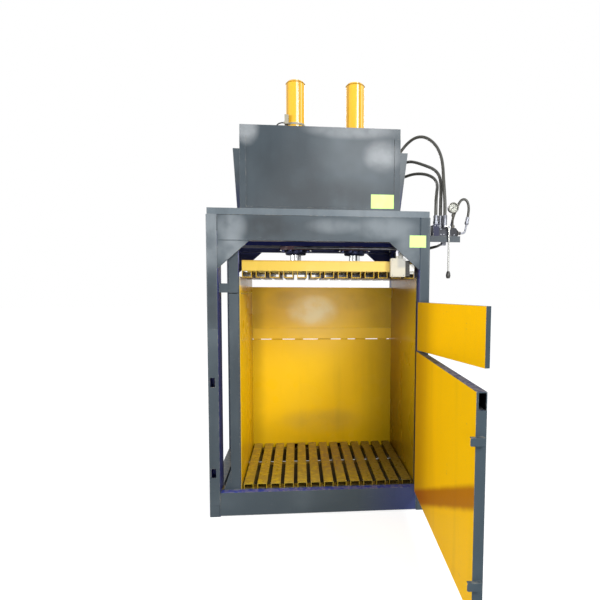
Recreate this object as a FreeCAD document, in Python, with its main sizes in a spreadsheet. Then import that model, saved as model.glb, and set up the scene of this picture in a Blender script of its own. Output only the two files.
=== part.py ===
import FreeCAD, Part
# Vertical recycling baler with two hydraulic cylinders, both chamber doors standing open.
#
# Frame: millimetres, +Z up, +X to the right seen from the front, +Y to the rear.
# The origin is on the floor, under the middle of the frame.
#
# The driving dimensions are cells of the sheet "Dims". Every sub-part is an object of the
# document that is bound to those cells, and is written to parts/NAME.step.

import math
import os
import re

import Sketcher

Vector = FreeCAD.Vector
doc = FreeCAD.newDocument("baler")
sheet = doc.addObject("Spreadsheet::Sheet", "Dims")

# --------------------------------------------------------------------------- dimensions

DIMENSIONS = [
    # frame of rectangular tube and channel
    ("frame_width", 1430),
    ("frame_depth", 1100),
    ("frame_height", 1945),
    ("post_width", 70),
    ("post_depth", 160),
    ("tube_wall", 6),
    ("tube_radius", 10),
    ("sill_lift", 6),
    ("sill_height", 160),
    ("beam_height", 160),
    ("beam_flange", 65),
    ("beam_web", 8),
    ("gusset_leg", 200),
    ("gusset_drop", 178),
    ("gusset_plate", 10),
    ("deck_height", 40),
    ("deck_plate", 8),
    ("deck_inset", 7),
    # chamber
    ("chamber_left", -513),
    ("chamber_right", 635),
    ("chamber_front", 52),
    ("chamber_back", 940),
    ("wall_plate", 10),
    ("wall_top", 1560),
    ("rib_height", 60),
    ("rib_depth", 45),
    ("rib_wall", 5),
    ("seam_height", 1066),
    ("seam_gap", 6),
    ("back_top", 1496),
    ("back_band", 88),
    ("slit_height", 1449),
    ("slit_foot", 1152),
    ("slit_start", 60),
    ("slat_width", 63),
    ("slat_height", 36),
    ("slat_wall", 5),
    ("slat_pitch", 88.5),
    ("slat_count", 13),
    ("cross_width", 60),
    ("cross_lift", 60),
    # inner column beside the left wall
    ("column_width", 60),
    ("column_front", 50),
    ("spacer_height", 59),
    ("foot_rise", 140),
    ("foot_run", 45),
    # platen
    ("platen_bottom", 1554),
    ("platen_channel", 43),
    ("platen_bar", 68),
    ("platen_front", 62),
    ("platen_back", 926),
    ("platen_rib", 12),
    ("bar_width", 60),
    ("bar_wall", 5),
    ("bar_spread", 15),
    ("seat_width", 170),
    ("seat_depth", 150),
    ("seat_plate", 14),
    # cylinders
    ("cylinder_offset", 215),
    ("cylinder_middle", 57),
    ("cylinder_depth", 495),
    ("barrel_outer", 133),
    ("barrel_bore", 110),
    ("barrel_top", 2950),
    ("barrel_cap", 32),
    ("barrel_flange", 230),
    ("flange_plate", 25),
    ("gland_outer", 150),
    ("gland_head", 32),
    ("gland_spigot", 53),
    ("rod_diameter", 80),
    ("rod_clearance", 0.05),
    ("rod_foot", 144),
    ("piston_low", 2792),
    ("piston_height", 70),
    ("piston_spigot", 25),
    ("bolt_circle", 190),
    ("bolt_count", 8),
    ("bolt_radius", 13.9),
    ("bolt_head", 13),
    ("carrier_width", 240),
    ("carrier_plate", 20),
    ("port_level", 2890),
    ("port_reach", 76),
    ("port_radius", 16),
    ("sensor_level", 2655),
    # doors on one hinge line
    ("hinge_x", 650),
    ("hinge_y", -32),
    ("pin_diameter", 20),
    ("pin_clearance", 0.05),
    ("knuckle_radius", 16),
    ("knuckle_length", 55),
    ("door_face", 26),
    ("door_skin", 6),
    ("door_wall", 5),
    ("lower_bottom", 145),
    ("lower_top", 1080),
    ("lower_width", 1325),
    ("lower_depth", 45),
    ("lower_tube", 80),
    ("lower_angle", 87),
    ("upper_bottom", 1088),
    ("upper_top", 1400),
    ("upper_width", 808),
    ("upper_depth", 29),
    ("upper_angle", 101.5),
    ("lug_height", 35),
    ("lug_length", 62),
    ("lug_plate", 20),
    ("lug_low", 291),
    ("lug_high", 884),
    ("slot_width", 30),
    ("slot_height", 60),
    ("latch_top", 1226),
    ("latch_plate", 3),
    ("drain_radius", 8),
    # guards on the deck
    ("guard_middle", 5),
    ("guard_width", 1018),
    ("guard_height", 518),
    ("guard_sheet", 3),
    ("guard_strip", 38),
    ("guard_front", 14),
    ("guard_step", 6),
    ("hood_depth", 625),
    ("hood_left_top", -620),
    ("hood_right_top", 692),
    ("hood_left_foot", -586),
    ("hood_right_foot", 628),
    ("hood_height", 530),
    ("hood_stay", 60),
    ("bulkhead_x", 605),
    ("bulkhead_z", 2330),
    # power unit
    ("tank_left", -110),
    ("tank_width", 600),
    ("tank_front", 690),
    ("tank_depth", 340),
    ("tank_height", 390),
    ("tank_wall", 5),
    ("lid_plate", 10),
    ("lid_edge", 12),
    ("outlet_block", 60),
    ("outlet_y", 760),
    ("outlet_z", 2440),
    ("return_y", 757),
    ("return_z", 2340),
    ("breather_inset", 80),
    ("motor_x", 80),
    ("motor_y", 860),
    ("motor_radius", 88),
    ("motor_height", 300),
    ("fin_height", 12),
    ("fin_length", 194),
    ("fin_count", 24),
    ("shaft_radius", 14),
    ("shaft_clearance", 0.05),
    ("pump_height", 190),
    # valve group on the right
    ("shelf_length", 217),
    ("shelf_front", 60),
    ("shelf_depth", 90),
    ("shelf_plate", 6),
    ("shelf_top", 1836),
    ("shelf_lip", 40),
    ("shelf_side", 90),
    ("valve_left", 750),
    ("valve_width", 160),
    ("valve_front", 66),
    ("valve_depth", 72),
    ("valve_height", 55),
    ("valve_tower", 78),
    ("drop_x", 835),
    ("drop_y", 118),
    ("drop_z", 1793),
    ("hose_level", 1975),
    ("loop_level", 1925),
    ("loop_x", 893),
    ("loop_y", 122),
    ("lever_x", 852),
    ("lever_y", 50),
    ("lever_z", 1893),
    ("lever_length", 297),
    ("lever_hub", 11),
    ("lever_pin", 4),
    ("gauge_x", 890),
    ("gauge_z", 2026),
    ("gauge_radius", 34),
    ("gauge_front", 80),
    ("gauge_depth", 30),
    # switch box under the right gusset
    ("box_left", 458),
    ("box_bottom", 1563),
    ("box_width", 97),
    ("box_height", 120),
    ("box_front", 12),
    ("box_depth", 36),
    # hoses and pipes
    ("hose_diameter", 22),
    ("feed_diameter", 20),
    ("loop_diameter", 17),
    ("cable_diameter", 9),
    ("pipe_diameter", 18),
    ("pipe_bend", 22),
    ("ferrule_radius", 14.5),
    ("nut_radius", 18),
    ("nut_height", 22),
    ("rod_pipe_y", 364),
    ("rod_pipe_z", 1770),
    ("rod_pipe_end", 636),
]

for row, (alias, value) in enumerate(DIMENSIONS, start=1):
    sheet.set(f"A{row}", alias)
    sheet.set(f"B{row}", str(value))
    sheet.setAlias(f"B{row}", alias)
doc.recompute()

ALIASES = {alias for alias, value in DIMENSIONS}
NODES = []

UP = (0, 0, 1)
ALONG_X = (1, 0, 0)
ALONG_Y = (0, 1, 0)


# --------------------------------------------------------------------------- helpers

def cells(text):
    """Return an expression in which each alias is a cell of the sheet."""
    def cell(word):
        return f"Dims.{word[0]}" if word[0] in ALIASES else word[0]

    return re.sub(r"[a-z_]+", cell, str(text))


def value_of(text):
    """Return the number that an expression in the sheet's aliases has now."""
    result = sheet.evalExpression(cells(text))
    return float(getattr(result, "Value", result))


def front(text):
    """Return the Y expression of a place given as a depth behind the frame's front plane."""
    return f"({text}) - frame_depth / 2"


def move(item, place):
    """Bind the place of an object's own origin to three expressions."""
    for axis, text in zip("xyz", place):
        item.setExpression(f"Placement.Base.{axis}", cells(text))


def node(item, name):
    """Give a sub-part its label and enter it in the list of nodes."""
    item.Label = name
    if item.Label != name:
        raise RuntimeError(f"the label {name} is taken")
    NODES.append(item)
    return item


def block(name, low, size):
    """Make a rectangular block from its low corner and its size."""
    item = doc.addObject("Part::Box", name)
    for prop, text in zip(("Length", "Width", "Height"), size):
        item.setExpression(prop, cells(text))
    move(item, low)
    return item


def bar(name, base, radius, length, direction=UP):
    """Make a round bar along a direction."""
    item = doc.addObject("Part::Cylinder", name)
    item.setExpression("Radius", cells(radius))
    item.setExpression("Height", cells(length))
    item.Placement.Rotation = FreeCAD.Rotation(Vector(*UP), Vector(*direction))
    move(item, base)
    return item


def hexagon(name, base, radius, length, direction=UP):
    """Make a hexagonal prism, such as a nut, along a direction."""
    item = doc.addObject("Part::Prism", name)
    item.Polygon = 6
    item.setExpression("Circumradius", cells(radius))
    item.setExpression("Height", cells(length))
    item.Placement.Rotation = FreeCAD.Rotation(Vector(*UP), Vector(*direction))
    move(item, base)
    return item


def fuse(name, pieces):
    """Weld several shapes into one."""
    item = doc.addObject("Part::MultiFuse", name)
    item.Shapes = pieces
    item.Refine = True
    return item


def group(name, pieces):
    """Keep several separate solids together in one node."""
    item = doc.addObject("Part::Compound", name)
    item.Links = pieces
    return item


def cut(name, base, tools):
    """Take one or more tools away from a base."""
    item = doc.addObject("Part::Cut", name)
    item.Base = base
    item.Tool = tools[0] if len(tools) == 1 else group(f"{name}_tools", tools)
    return item


def cross_tube(name, low, size, wall, end_cap="-1"):
    """Make a rectangular tube along X, open at both ends, or closed by end caps of a given thickness."""
    outer = block(f"{name}_outer", low, size)
    inner_low = (f"{low[0]} + {end_cap}", f"{low[1]} + {wall}", f"{low[2]} + {wall}")
    inner_size = (f"{size[0]} - 2 * ({end_cap})", f"{size[1]} - 2 * {wall}", f"{size[2]} - 2 * {wall}")
    return cut(name, outer, [block(f"{name}_inner", inner_low, inner_size)])


def new_body(name):
    """Start a PartDesign body."""
    return doc.addObject("PartDesign::Body", name)


def new_sketch(body, role, level=0):
    """Attach a sketch to one of the body's own origin planes, at a level above it."""
    sketch = body.newObject("Sketcher::SketchObject", f"{body.Name}_sketch")
    plane = [item for item in body.Origin.OriginFeatures if item.Role == role][0]
    sketch.AttachmentSupport = [(plane, "")]
    sketch.MapMode = "FlatFace"
    sketch.AttachmentOffset = FreeCAD.Placement(Vector(0, 0, level), FreeCAD.Rotation())
    return sketch


def pin_point(sketch, geometry, point, place):
    """Hold one point of a sketch at a place bound to the sheet."""
    for kind, text in zip(("DistanceX", "DistanceY"), place):
        rule = Sketcher.Constraint(kind, -1, 1, geometry, point, value_of(text))
        index = sketch.addConstraint(rule)
        sketch.setExpression(f"Constraints[{index}]", cells(text))


def polygon(sketch, corners):
    """Draw a closed outline of straight lines through bound corners."""
    places = [Vector(value_of(x), value_of(y), 0) for x, y in corners]
    first = sketch.GeometryCount
    count = len(corners)
    for index in range(count):
        line = Part.LineSegment(places[index], places[(index + 1) % count])
        sketch.addGeometry(line, False)
    for index in range(count):
        follower = first + (index + 1) % count
        sketch.addConstraint(Sketcher.Constraint("Coincident", first + index, 2, follower, 1))
    for index, corner in enumerate(corners):
        pin_point(sketch, first + index, 1, corner)


def rectangle(sketch, low, high):
    """Draw a rectangle between two bound corners."""
    polygon(sketch, [low, (high[0], low[1]), high, (low[0], high[1])])


def circle(sketch, centre, radius):
    """Draw a circle of bound place and radius."""
    middle = Vector(value_of(centre[0]), value_of(centre[1]), 0)
    shape = Part.Circle(middle, Vector(0, 0, 1), value_of(radius))
    index = sketch.addGeometry(shape, False)
    pin_point(sketch, index, 3, centre)
    rule = sketch.addConstraint(Sketcher.Constraint("Radius", index, value_of(radius)))
    sketch.setExpression(f"Constraints[{rule}]", cells(radius))


def pad(body, sketch, length, reverse=False):
    """Pad a sketch. On the XZ plane, reverse makes the pad run to the rear."""
    feature = body.newObject("PartDesign::Pad", f"{sketch.Name}_pad")
    feature.Profile = sketch
    feature.setExpression("Length", cells(length))
    feature.Reversed = reverse
    doc.recompute()
    return feature


def pocket(body, sketch, depth=None, reverse=False):
    """Cut a sketch out of the body: through all of it, or to a depth."""
    before = body.Shape.Volume
    feature = body.newObject("PartDesign::Pocket", f"{sketch.Name}_pocket")
    feature.Profile = sketch
    if depth is None:
        feature.Type = "ThroughAll"
        feature.Midplane = True
    else:
        feature.setExpression("Length", cells(depth))
        feature.Reversed = reverse
    doc.recompute()
    if not body.Shape.Volume < before - 1:
        raise RuntimeError(f"{feature.Name} cuts nothing")
    return feature


def turned(name, profile, place):
    """Turn a half profile, given as (radius, height) corners, about the Z axis."""
    body = new_body(name)
    sketch = new_sketch(body, "XZ_Plane")
    polygon(sketch, profile)
    feature = body.newObject("PartDesign::Revolution", f"{name}_turn")
    feature.Profile = sketch
    feature.ReferenceAxis = (sketch, ["V_Axis"])
    feature.Angle = 360
    move(body, place)
    doc.recompute()
    return body


def round_along(body, axis, radius, keep):
    """Fillet the body's straight edges along an axis for which keep(centre) is true."""
    names = []
    tip = body.Tip
    for index, edge in enumerate(tip.Shape.Edges, start=1):
        if edge.Curve.TypeId != "Part::GeomLine":
            continue
        direction = edge.tangentAt(edge.FirstParameter)
        if abs(abs(direction.dot(Vector(*axis))) - 1) < 1e-6 and keep(edge.CenterOfMass):
            names.append(f"Edge{index}")
    feature = body.newObject("PartDesign::Fillet", f"{body.Name}_round")
    feature.Base = (tip, names)
    feature.setExpression("Radius", cells(radius))
    doc.recompute()
    return feature


def tube_section(sketch, width, height, wall):
    """Draw the section of a rectangular tube with its low corner at the origin."""
    rectangle(sketch, ("0", "0"), (width, height))
    rectangle(sketch, (wall, wall), (f"{width} - {wall}", f"{height} - {wall}"))


def channel_section(sketch, height, faces_rear):
    """Draw a channel on its side: an upright web with two level flanges."""
    corners = [
        ("0", "0"), ("beam_flange", "0"), ("beam_flange", "beam_web"), ("beam_web", "beam_web"),
        ("beam_web", f"{height} - beam_web"), ("beam_flange", f"{height} - beam_web"),
        ("beam_flange", height), ("0", height),
    ]
    if faces_rear:
        corners = [(f"beam_flange - ({y})", z) for y, z in reversed(corners)]
    polygon(sketch, corners)


# --------------------------------------------------------------------------- frame

HALF = "frame_width / 2"
INSIDE = f"-{HALF} + post_width"
SPAN = "frame_width - 2 * post_width"
RAIL_LENGTH = "frame_depth - 2 * post_depth"
BEAM_Z = "frame_height - beam_height"
DECK_TOP = "frame_height + deck_height"
SIDES = {"left": f"-{HALF}", "right": f"{HALF} - post_width"}
CABLE_GLAND = ("-305", "436")


def upright_tube(name, x, depth):
    """Make an upright post of rectangular tube, with rounded outer corners and end plates."""
    body = new_body(name)
    sketch = new_sketch(body, "XY_Plane")
    rectangle(sketch, ("0", "0"), ("post_width", "post_depth"))
    pad(body, sketch, "frame_height")
    sketch = new_sketch(body, "XY_Plane", level=value_of("tube_wall"))
    rectangle(sketch, ("tube_wall", "tube_wall"), ("post_width - tube_wall", "post_depth - tube_wall"))
    pocket(body, sketch, "frame_height - 2 * tube_wall", reverse=True)
    drain = new_sketch(body, "XY_Plane")
    circle(drain, ("post_width / 2", "post_depth / 2"), "drain_radius")
    pocket(body, drain, "2 * tube_wall", reverse=True)
    width = value_of("post_width")
    length = value_of("post_depth")

    def outer(centre):
        return min(centre.x, width - centre.x) < 1 and min(centre.y, length - centre.y) < 1

    round_along(body, UP, "tube_radius", outer)
    move(body, (x, front(depth), "0"))
    return body


def latch_slots(body, depth):
    """Cut the two upright slots that take the lower door's lugs."""
    sketch = new_sketch(body, "XZ_Plane")
    left = "post_width / 2 - slot_width / 2 - 5"
    for middle in ("lug_low", "lug_high"):
        low = (left, f"{middle} - slot_height / 2")
        high = (f"{left} + slot_width", f"{middle} + slot_height / 2")
        rectangle(sketch, low, high)
    pocket(body, sketch, depth)


def make_posts():
    """Four posts that carry the headers and the deck, and the latch strip."""
    left_post = upright_tube("front_left_post", SIDES["left"], "0")
    latch_slots(left_post, "tube_wall + 4")
    node(left_post, "front_left_post")
    rear = "frame_depth - post_depth"
    for side, x in SIDES.items():
        node(upright_tube(f"rear_{side}_post", x, rear), f"rear_{side}_post")

    pieces = [upright_tube("right_tube", SIDES["right"], "0")]
    for number, (low, high) in enumerate(knuckle_levels("post"), start=1):
        pieces.append(post_knuckle(f"post_knuckle_{number}", low, high))
    node(fuse("right_post_with_hinges", pieces), "front_right_post")

    strip = new_body("latch_strip")
    sketch = new_sketch(strip, "XZ_Plane")
    rectangle(sketch, ("4", "sill_height / 2"), ("post_width - 2", "latch_top"))
    pad(strip, sketch, "latch_plate", reverse=True)
    latch_slots(strip, "latch_plate + 1")
    move(strip, (SIDES["left"], front("-latch_plate"), "0"))
    node(strip, "latch_strip")


def side_rail(name, x, z, height):
    """Make a rectangular tube between a front and a rear post."""
    body = new_body(name)
    sketch = new_sketch(body, "XZ_Plane")
    tube_section(sketch, "post_width", height, "tube_wall")
    pad(body, sketch, RAIL_LENGTH, reverse=True)
    move(body, (x, front("post_depth"), z))
    node(body, name)


def make_base():
    """Sills, side rails and the floor grid."""
    for name, depth, faces_rear in (
        ("front_sill", "0", False),
        ("rear_sill", "frame_depth - beam_flange", True),
    ):
        body = new_body(name)
        sketch = new_sketch(body, "YZ_Plane")
        channel_section(sketch, "sill_height - sill_lift", faces_rear)
        pad(body, sketch, SPAN)
        move(body, (INSIDE, front(depth), "sill_lift"))
        node(body, name)
    for side, x in SIDES.items():
        side_rail(f"{side}_base_rail", x, "0", "sill_height")
    make_floor_grid()


def channel_row(name, foot, height, length, web_up):
    """Make the row of equal channels that run to the rear across the chamber's width."""
    wall = "slat_wall"
    corners = [
        ("0", "0"), (wall, "0"), (wall, f"{height} - {wall}"),
        (f"slat_width - {wall}", f"{height} - {wall}"), (f"slat_width - {wall}", "0"),
        ("slat_width", "0"), ("slat_width", height), ("0", height),
    ]
    if not web_up:
        corners = [(x, f"{height} - ({z})") for x, z in reversed(corners)]
    middle = "(chamber_left + chamber_right) / 2"
    channels = []
    for number in range(int(value_of("slat_count"))):
        body = new_body(f"{name}_{number + 1}")
        sketch = new_sketch(body, "XZ_Plane")
        polygon(sketch, corners)
        pad(body, sketch, length, reverse=True)
        place = f"{middle} + ({number} - (slat_count - 1) / 2) * slat_pitch - slat_width / 2"
        move(body, (place, foot[0], foot[1]))
        channels.append(body)
    return channels


def make_floor_grid():
    """Thirteen floor channels welded across three cross beams."""
    beams = {
        "front": ("chamber_front + 20", "cross_lift"),
        "middle": ("frame_depth / 2 - cross_width / 2", "0"),
        "rear": ("chamber_back - cross_width", "cross_lift"),
    }
    pieces = []
    for name, (depth, foot) in beams.items():
        low = (INSIDE, front(depth), foot)
        size = (SPAN, "cross_width", f"sill_height - {foot}")
        pieces.append(cross_tube(f"floor_cross_{name}", low, size, "bar_wall"))
    foot = (front("chamber_front"), "sill_height")
    length = "chamber_back - chamber_front"
    pieces += channel_row("floor_slat", foot, "slat_height", length, web_up=True)
    node(fuse("floor_grid", pieces), "floor_grid")


def make_header(name, depth, faces_rear, plate_depth):
    """Make a header channel with a corner gusset welded under each end."""
    beam = new_body(f"{name}_beam")
    sketch = new_sketch(beam, "YZ_Plane")
    channel_section(sketch, "beam_height", faces_rear)
    pad(beam, sketch, SPAN)
    move(beam, (INSIDE, front(depth), BEAM_Z))
    pieces = [beam]
    for side, start, inner in (
        ("left", INSIDE, "gusset_leg"),
        ("right", SIDES["right"], "-gusset_leg"),
    ):
        plate = new_body(f"{name}_{side}_gusset")
        sketch = new_sketch(plate, "XZ_Plane")
        corners = [("0", "1"), ("0", "-gusset_drop"), (inner, "0"), (inner, "1")]
        polygon(sketch, corners)
        pad(plate, sketch, "gusset_plate", reverse=True)
        move(plate, (start, front(plate_depth), BEAM_Z))
        pieces.append(plate)
    node(fuse(name, pieces), name)


def make_top():
    """Headers, top rails, cylinder carrier and deck tray."""
    make_header("front_header", "0", False, "0")
    make_header("rear_header", "frame_depth - beam_flange", True, "frame_depth - gusset_plate")
    for side, x in SIDES.items():
        side_rail(f"{side}_top_rail", x, BEAM_Z, "beam_height")
    make_carrier()
    make_deck()


def cylinder_places():
    """Return the X expression of each cylinder by its side."""
    return {"left": "cylinder_middle - cylinder_offset", "right": "cylinder_middle + cylinder_offset"}


def make_carrier():
    """Trough between the top rails that both cylinder flanges bear against."""
    body = new_body("cylinder_carrier")
    sketch = new_sketch(body, "YZ_Plane")
    web = "(beam_web + 2)"
    start = front("cylinder_depth - carrier_width / 2")
    corners = [
        ("0", "0"), ("carrier_width", "0"), ("carrier_width", "beam_height"),
        (f"carrier_width - {web}", "beam_height"), (f"carrier_width - {web}", "carrier_plate"),
        (web, "carrier_plate"), (web, "beam_height"), ("0", "beam_height"),
    ]
    polygon(sketch, [(f"{y} + {start}", z) for y, z in corners])
    pad(body, sketch, SPAN)
    holes = new_sketch(body, "XY_Plane")
    for place in cylinder_places().values():
        centre = (f"{place} + {HALF} - post_width", front("cylinder_depth"))
        circle(holes, centre, "barrel_outer / 2 + 1")
    pocket(body, holes)
    move(body, (INSIDE, "0", BEAM_Z))
    node(body, "cylinder_carrier")


def make_deck():
    """Turned-down tray that closes the frame's top, bored for each barrel, with a cable gland."""
    body = new_body("deck_sheet")
    sketch = new_sketch(body, "XY_Plane")
    edge_x = f"({HALF} - deck_inset)"
    edge_y = "(frame_depth / 2 - 2)"
    rectangle(sketch, (f"-{edge_x}", f"-{edge_y}"), (edge_x, edge_y))
    pad(body, sketch, "deck_height")
    inside = new_sketch(body, "XY_Plane")
    low = (f"deck_plate - {edge_x}", f"deck_plate - {edge_y}")
    rectangle(inside, low, (f"{edge_x} - deck_plate", f"{edge_y} - deck_plate"))
    pocket(body, inside, "deck_height - deck_plate", reverse=True)
    holes = new_sketch(body, "XY_Plane")
    for place in cylinder_places().values():
        circle(holes, (place, front("cylinder_depth")), "barrel_outer / 2 + 4")
    pocket(body, holes)
    move(body, ("0", "0", "frame_height"))
    gland = bar("deck_gland", (CABLE_GLAND[0], front(CABLE_GLAND[1]), DECK_TOP), "11", "16")
    node(fuse("deck_with_gland", [body, gland]), "deck_tray")


def make_column():
    """Inner column beside the left wall, with its spacer bar and its foot gusset."""
    left = "chamber_left - wall_plate - column_width"
    tube = new_body("column_tube")
    sketch = new_sketch(tube, "XY_Plane")
    tube_section(sketch, "column_width", "column_width", "tube_wall")
    pad(tube, sketch, f"{BEAM_Z} - sill_height")
    slit = new_sketch(tube, "XZ_Plane")
    foot = "slit_height - sill_height"
    rectangle(slit, ("-1", foot), ("column_width + 1", f"{foot} + seam_gap"))
    pocket(tube, slit, "column_width - tube_wall")
    move(tube, (left, front("column_front"), "sill_height"))

    depth = front("column_front + 4")
    spacer_low = (INSIDE, depth, "slit_height + seam_gap + 1")
    spacer_size = (f"{left} - ({INSIDE}) + 1", "column_width - 20", "spacer_height")
    spacer = block("column_spacer", spacer_low, spacer_size)

    plate = new_body("column_foot")
    sketch = new_sketch(plate, "XZ_Plane")
    inner = "foot_run + 1"
    polygon(sketch, [("0", "0"), (inner, "0"), (inner, "foot_rise"), ("foot_run", "foot_rise")])
    pad(plate, sketch, "beam_web", reverse=True)
    move(plate, (f"{left} - foot_run", depth, "sill_height"))
    node(fuse("column_weldment", [tube, spacer, plate]), "inner_column")


# --------------------------------------------------------------------------- chamber

def level_rib(name, x, start, level, length, outward):
    """Make a level channel rib on a side wall, its legs pointing out of the chamber."""
    low_x = x if outward else f"{x} - rib_depth"
    low = (low_x, front(start), level)
    outer = block(f"{name}_outer", low, ("rib_depth", length, "rib_height"))
    hollow_x = f"{x} + rib_wall" if outward else f"{x} - rib_depth - 1"
    hollow_low = (hollow_x, front(f"{start} - 1"), f"{level} + rib_wall")
    hollow_size = ("rib_depth - rib_wall + 1", f"{length} + 2", "rib_height - 2 * rib_wall")
    return cut(name, outer, [block(f"{name}_hollow", hollow_low, hollow_size)])


LEFT_RIBS = ("380", "720", "1060")
RIGHT_RIBS = ("380", "720", "1060", "1400")


def make_side_walls():
    """Side walls, each stiffened by level ribs on its outer face."""
    depth = "chamber_back - chamber_front"
    left = new_body("left_wall_plate")
    sketch = new_sketch(left, "YZ_Plane")
    slit_top = "slit_height + seam_gap"
    polygon(sketch, [
        ("0", "sill_height"), (depth, "sill_height"), (depth, "slit_foot"),
        (f"{depth} - seam_gap", "slit_foot"), (f"{depth} - seam_gap", "slit_height"),
        ("slit_start", "slit_height"), ("slit_start", slit_top), (depth, slit_top),
        (depth, "wall_top"), ("0", "wall_top"),
    ])
    pad(left, sketch, "wall_plate")
    wall_x = "chamber_left - wall_plate"
    move(left, (wall_x, front("chamber_front"), "0"))
    pieces = [left]
    start = "column_front + column_width + 10"
    length = f"chamber_back - 20 - ({start})"
    for number, level in enumerate(LEFT_RIBS, start=1):
        pieces.append(level_rib(f"left_rib_{number}", wall_x, start, level, length, outward=False))
    node(fuse("left_wall", pieces), "left_wall")

    low = ("chamber_right", front("chamber_front"), "sill_height")
    pieces = [block("right_wall_plate", low, ("wall_plate", depth, "wall_top - sill_height"))]
    wall_x = "chamber_right + wall_plate"
    for number, level in enumerate(RIGHT_RIBS, start=1):
        name = f"right_rib_{number}"
        pieces.append(level_rib(name, wall_x, "post_depth", level, RAIL_LENGTH, outward=True))
    node(fuse("right_wall", pieces), "right_wall")


def back_rib(name, x, foot, height):
    """Make an upright channel rib behind a back plate, its legs pointing to the rear."""
    start = "chamber_back + wall_plate"
    outer = block(f"{name}_outer", (x, front(start), foot), ("rib_height", "rib_depth", height))
    hollow_low = (f"{x} + rib_wall", front(f"{start} + rib_wall"), f"{foot} - 1")
    hollow_size = ("rib_height - 2 * rib_wall", "rib_depth", f"{height} + 2")
    return cut(name, outer, [block(f"{name}_hollow", hollow_low, hollow_size)])


def make_back_plates():
    """Two back plates with a seam between them, ribs behind and a band on the upper one."""
    foot = "(seam_height + seam_gap)"
    lower_low = (INSIDE, front("chamber_back"), "sill_height")
    lower_size = (SPAN, "wall_plate", "seam_height - sill_height")
    upper_low = (INSIDE, front("chamber_back"), foot)
    upper_size = (SPAN, "wall_plate", f"back_top - {foot}")
    lower = [block("lower_back_sheet", lower_low, lower_size)]
    upper = [block("upper_back_sheet", upper_low, upper_size)]
    for number, x in enumerate(("-330", "-30", "270"), start=1):
        height = "seam_height - sill_height - 60"
        lower.append(back_rib(f"lower_back_rib_{number}", x, "sill_height + 30", height))
        height = f"back_top - {foot} - 40"
        upper.append(back_rib(f"upper_back_rib_{number}", x, f"{foot} + 20", height))
    band_low = ("chamber_left + 2", front("chamber_back - 4"), foot)
    band_size = ("chamber_right - chamber_left - 4", "5", "back_band")
    upper.append(block("upper_back_band", band_low, band_size))
    node(fuse("lower_back_plate", lower), "lower_back_plate")
    node(fuse("upper_back_plate", upper), "upper_back_plate")


# --------------------------------------------------------------------------- press

FLANGE_Z = f"{BEAM_Z} - flange_plate"
PLATEN_TOP = "platen_bottom + platen_channel + platen_bar"


def make_platen():
    """Pressing plate: thirteen channels under a frame of four capped tubes, ribs and two rod seats."""
    width = "((slat_count - 1) * slat_pitch + slat_width)"
    left = f"(chamber_left + chamber_right) / 2 - {width} / 2"
    beam_z = "platen_bottom + platen_channel"
    length = "platen_back - platen_front"
    foot = (front("platen_front"), "platen_bottom")
    slats = channel_row("platen_channel", foot, "platen_channel", length, web_up=False)
    node(group("platen_channels", slats), "platen_slats")

    depths = (
        "platen_front",
        "cylinder_depth - bar_width - bar_spread",
        "cylinder_depth + bar_spread",
        "platen_back - bar_width",
    )
    pieces = []
    for number, depth in enumerate(depths, start=1):
        low = (left, front(depth), beam_z)
        size = (width, "bar_width", "platen_bar")
        pieces.append(cross_tube(f"platen_bar_{number}", low, size, "bar_wall", end_cap="bar_wall"))
    rib_size = ("platen_rib", f"{length} - 2 * bar_width + 2", "platen_bar - 20")
    seat_size = ("seat_width", "seat_depth", "seat_plate")
    for side, place in cylinder_places().items():
        edges = (f"{place} - seat_width / 2", f"{place} + seat_width / 2 - platen_rib")
        for number, x in enumerate(edges, start=1):
            low = (x, front("platen_front + bar_width - 1"), f"{beam_z} + 20")
            pieces.append(block(f"platen_{side}_rib_{number}", low, rib_size))
        seat_low = (edges[0], front("cylinder_depth - seat_depth / 2"), f"{PLATEN_TOP} - seat_plate")
        pieces.append(block(f"platen_{side}_seat", seat_low, seat_size))
    node(fuse("platen_beams", pieces), "platen_frame")


def make_cylinders():
    """Barrels, glands, rods and pistons of the two equal cylinders."""
    glands = []
    for side, place in cylinder_places().items():
        make_barrel(side, place)
        glands.append(make_gland(side, place))
        make_rod(side, place)
    node(group("glands", glands), "cylinder_glands")
    make_gland_bolts()
    make_sensor()


def make_barrel(side, place):
    """Barrel with its flange, end cap and cap port."""
    centre = (place, front("cylinder_depth"))
    outer = "barrel_outer / 2"
    bore = "barrel_bore / 2"
    top = f"(barrel_top - ({FLANGE_Z}))"
    shell = turned(f"{side}_shell", [
        (bore, "0"), ("barrel_flange / 2", "0"), ("barrel_flange / 2", "flange_plate"),
        (outer, "flange_plate"), (outer, f"{top} - 12"), (f"{outer} - 8", top),
        ("0", top), ("0", f"{top} - barrel_cap"), (bore, f"{top} - barrel_cap"),
    ], (*centre, FLANGE_Z))
    start = f"{outer} - 6"
    port_low = (place, front(f"cylinder_depth + {start}"), "port_level")
    port = bar(f"{side}_port", port_low, "port_radius", f"port_reach - ({start})", ALONG_Y)
    node(fuse(f"{side}_barrel", [shell, port]), f"{side}_barrel")


def make_gland(side, place):
    """Gland that closes the lower end of a barrel and guides its rod."""
    centre = (place, front("cylinder_depth"))
    bore = "barrel_bore / 2"
    slide = "(rod_diameter / 2 + rod_clearance)"
    rim = "gland_outer / 2"
    head = "gland_head"
    gland_top = f"{head} + gland_spigot"
    return turned(f"{side}_gland", [
        (slide, "0"), (f"{rim} - 6", "0"), (rim, "6"), (rim, head),
        (f"{bore} - 0.2", head), (f"{bore} - 0.2", gland_top), (slide, gland_top),
    ], (*centre, f"{FLANGE_Z} - {head}"))


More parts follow.
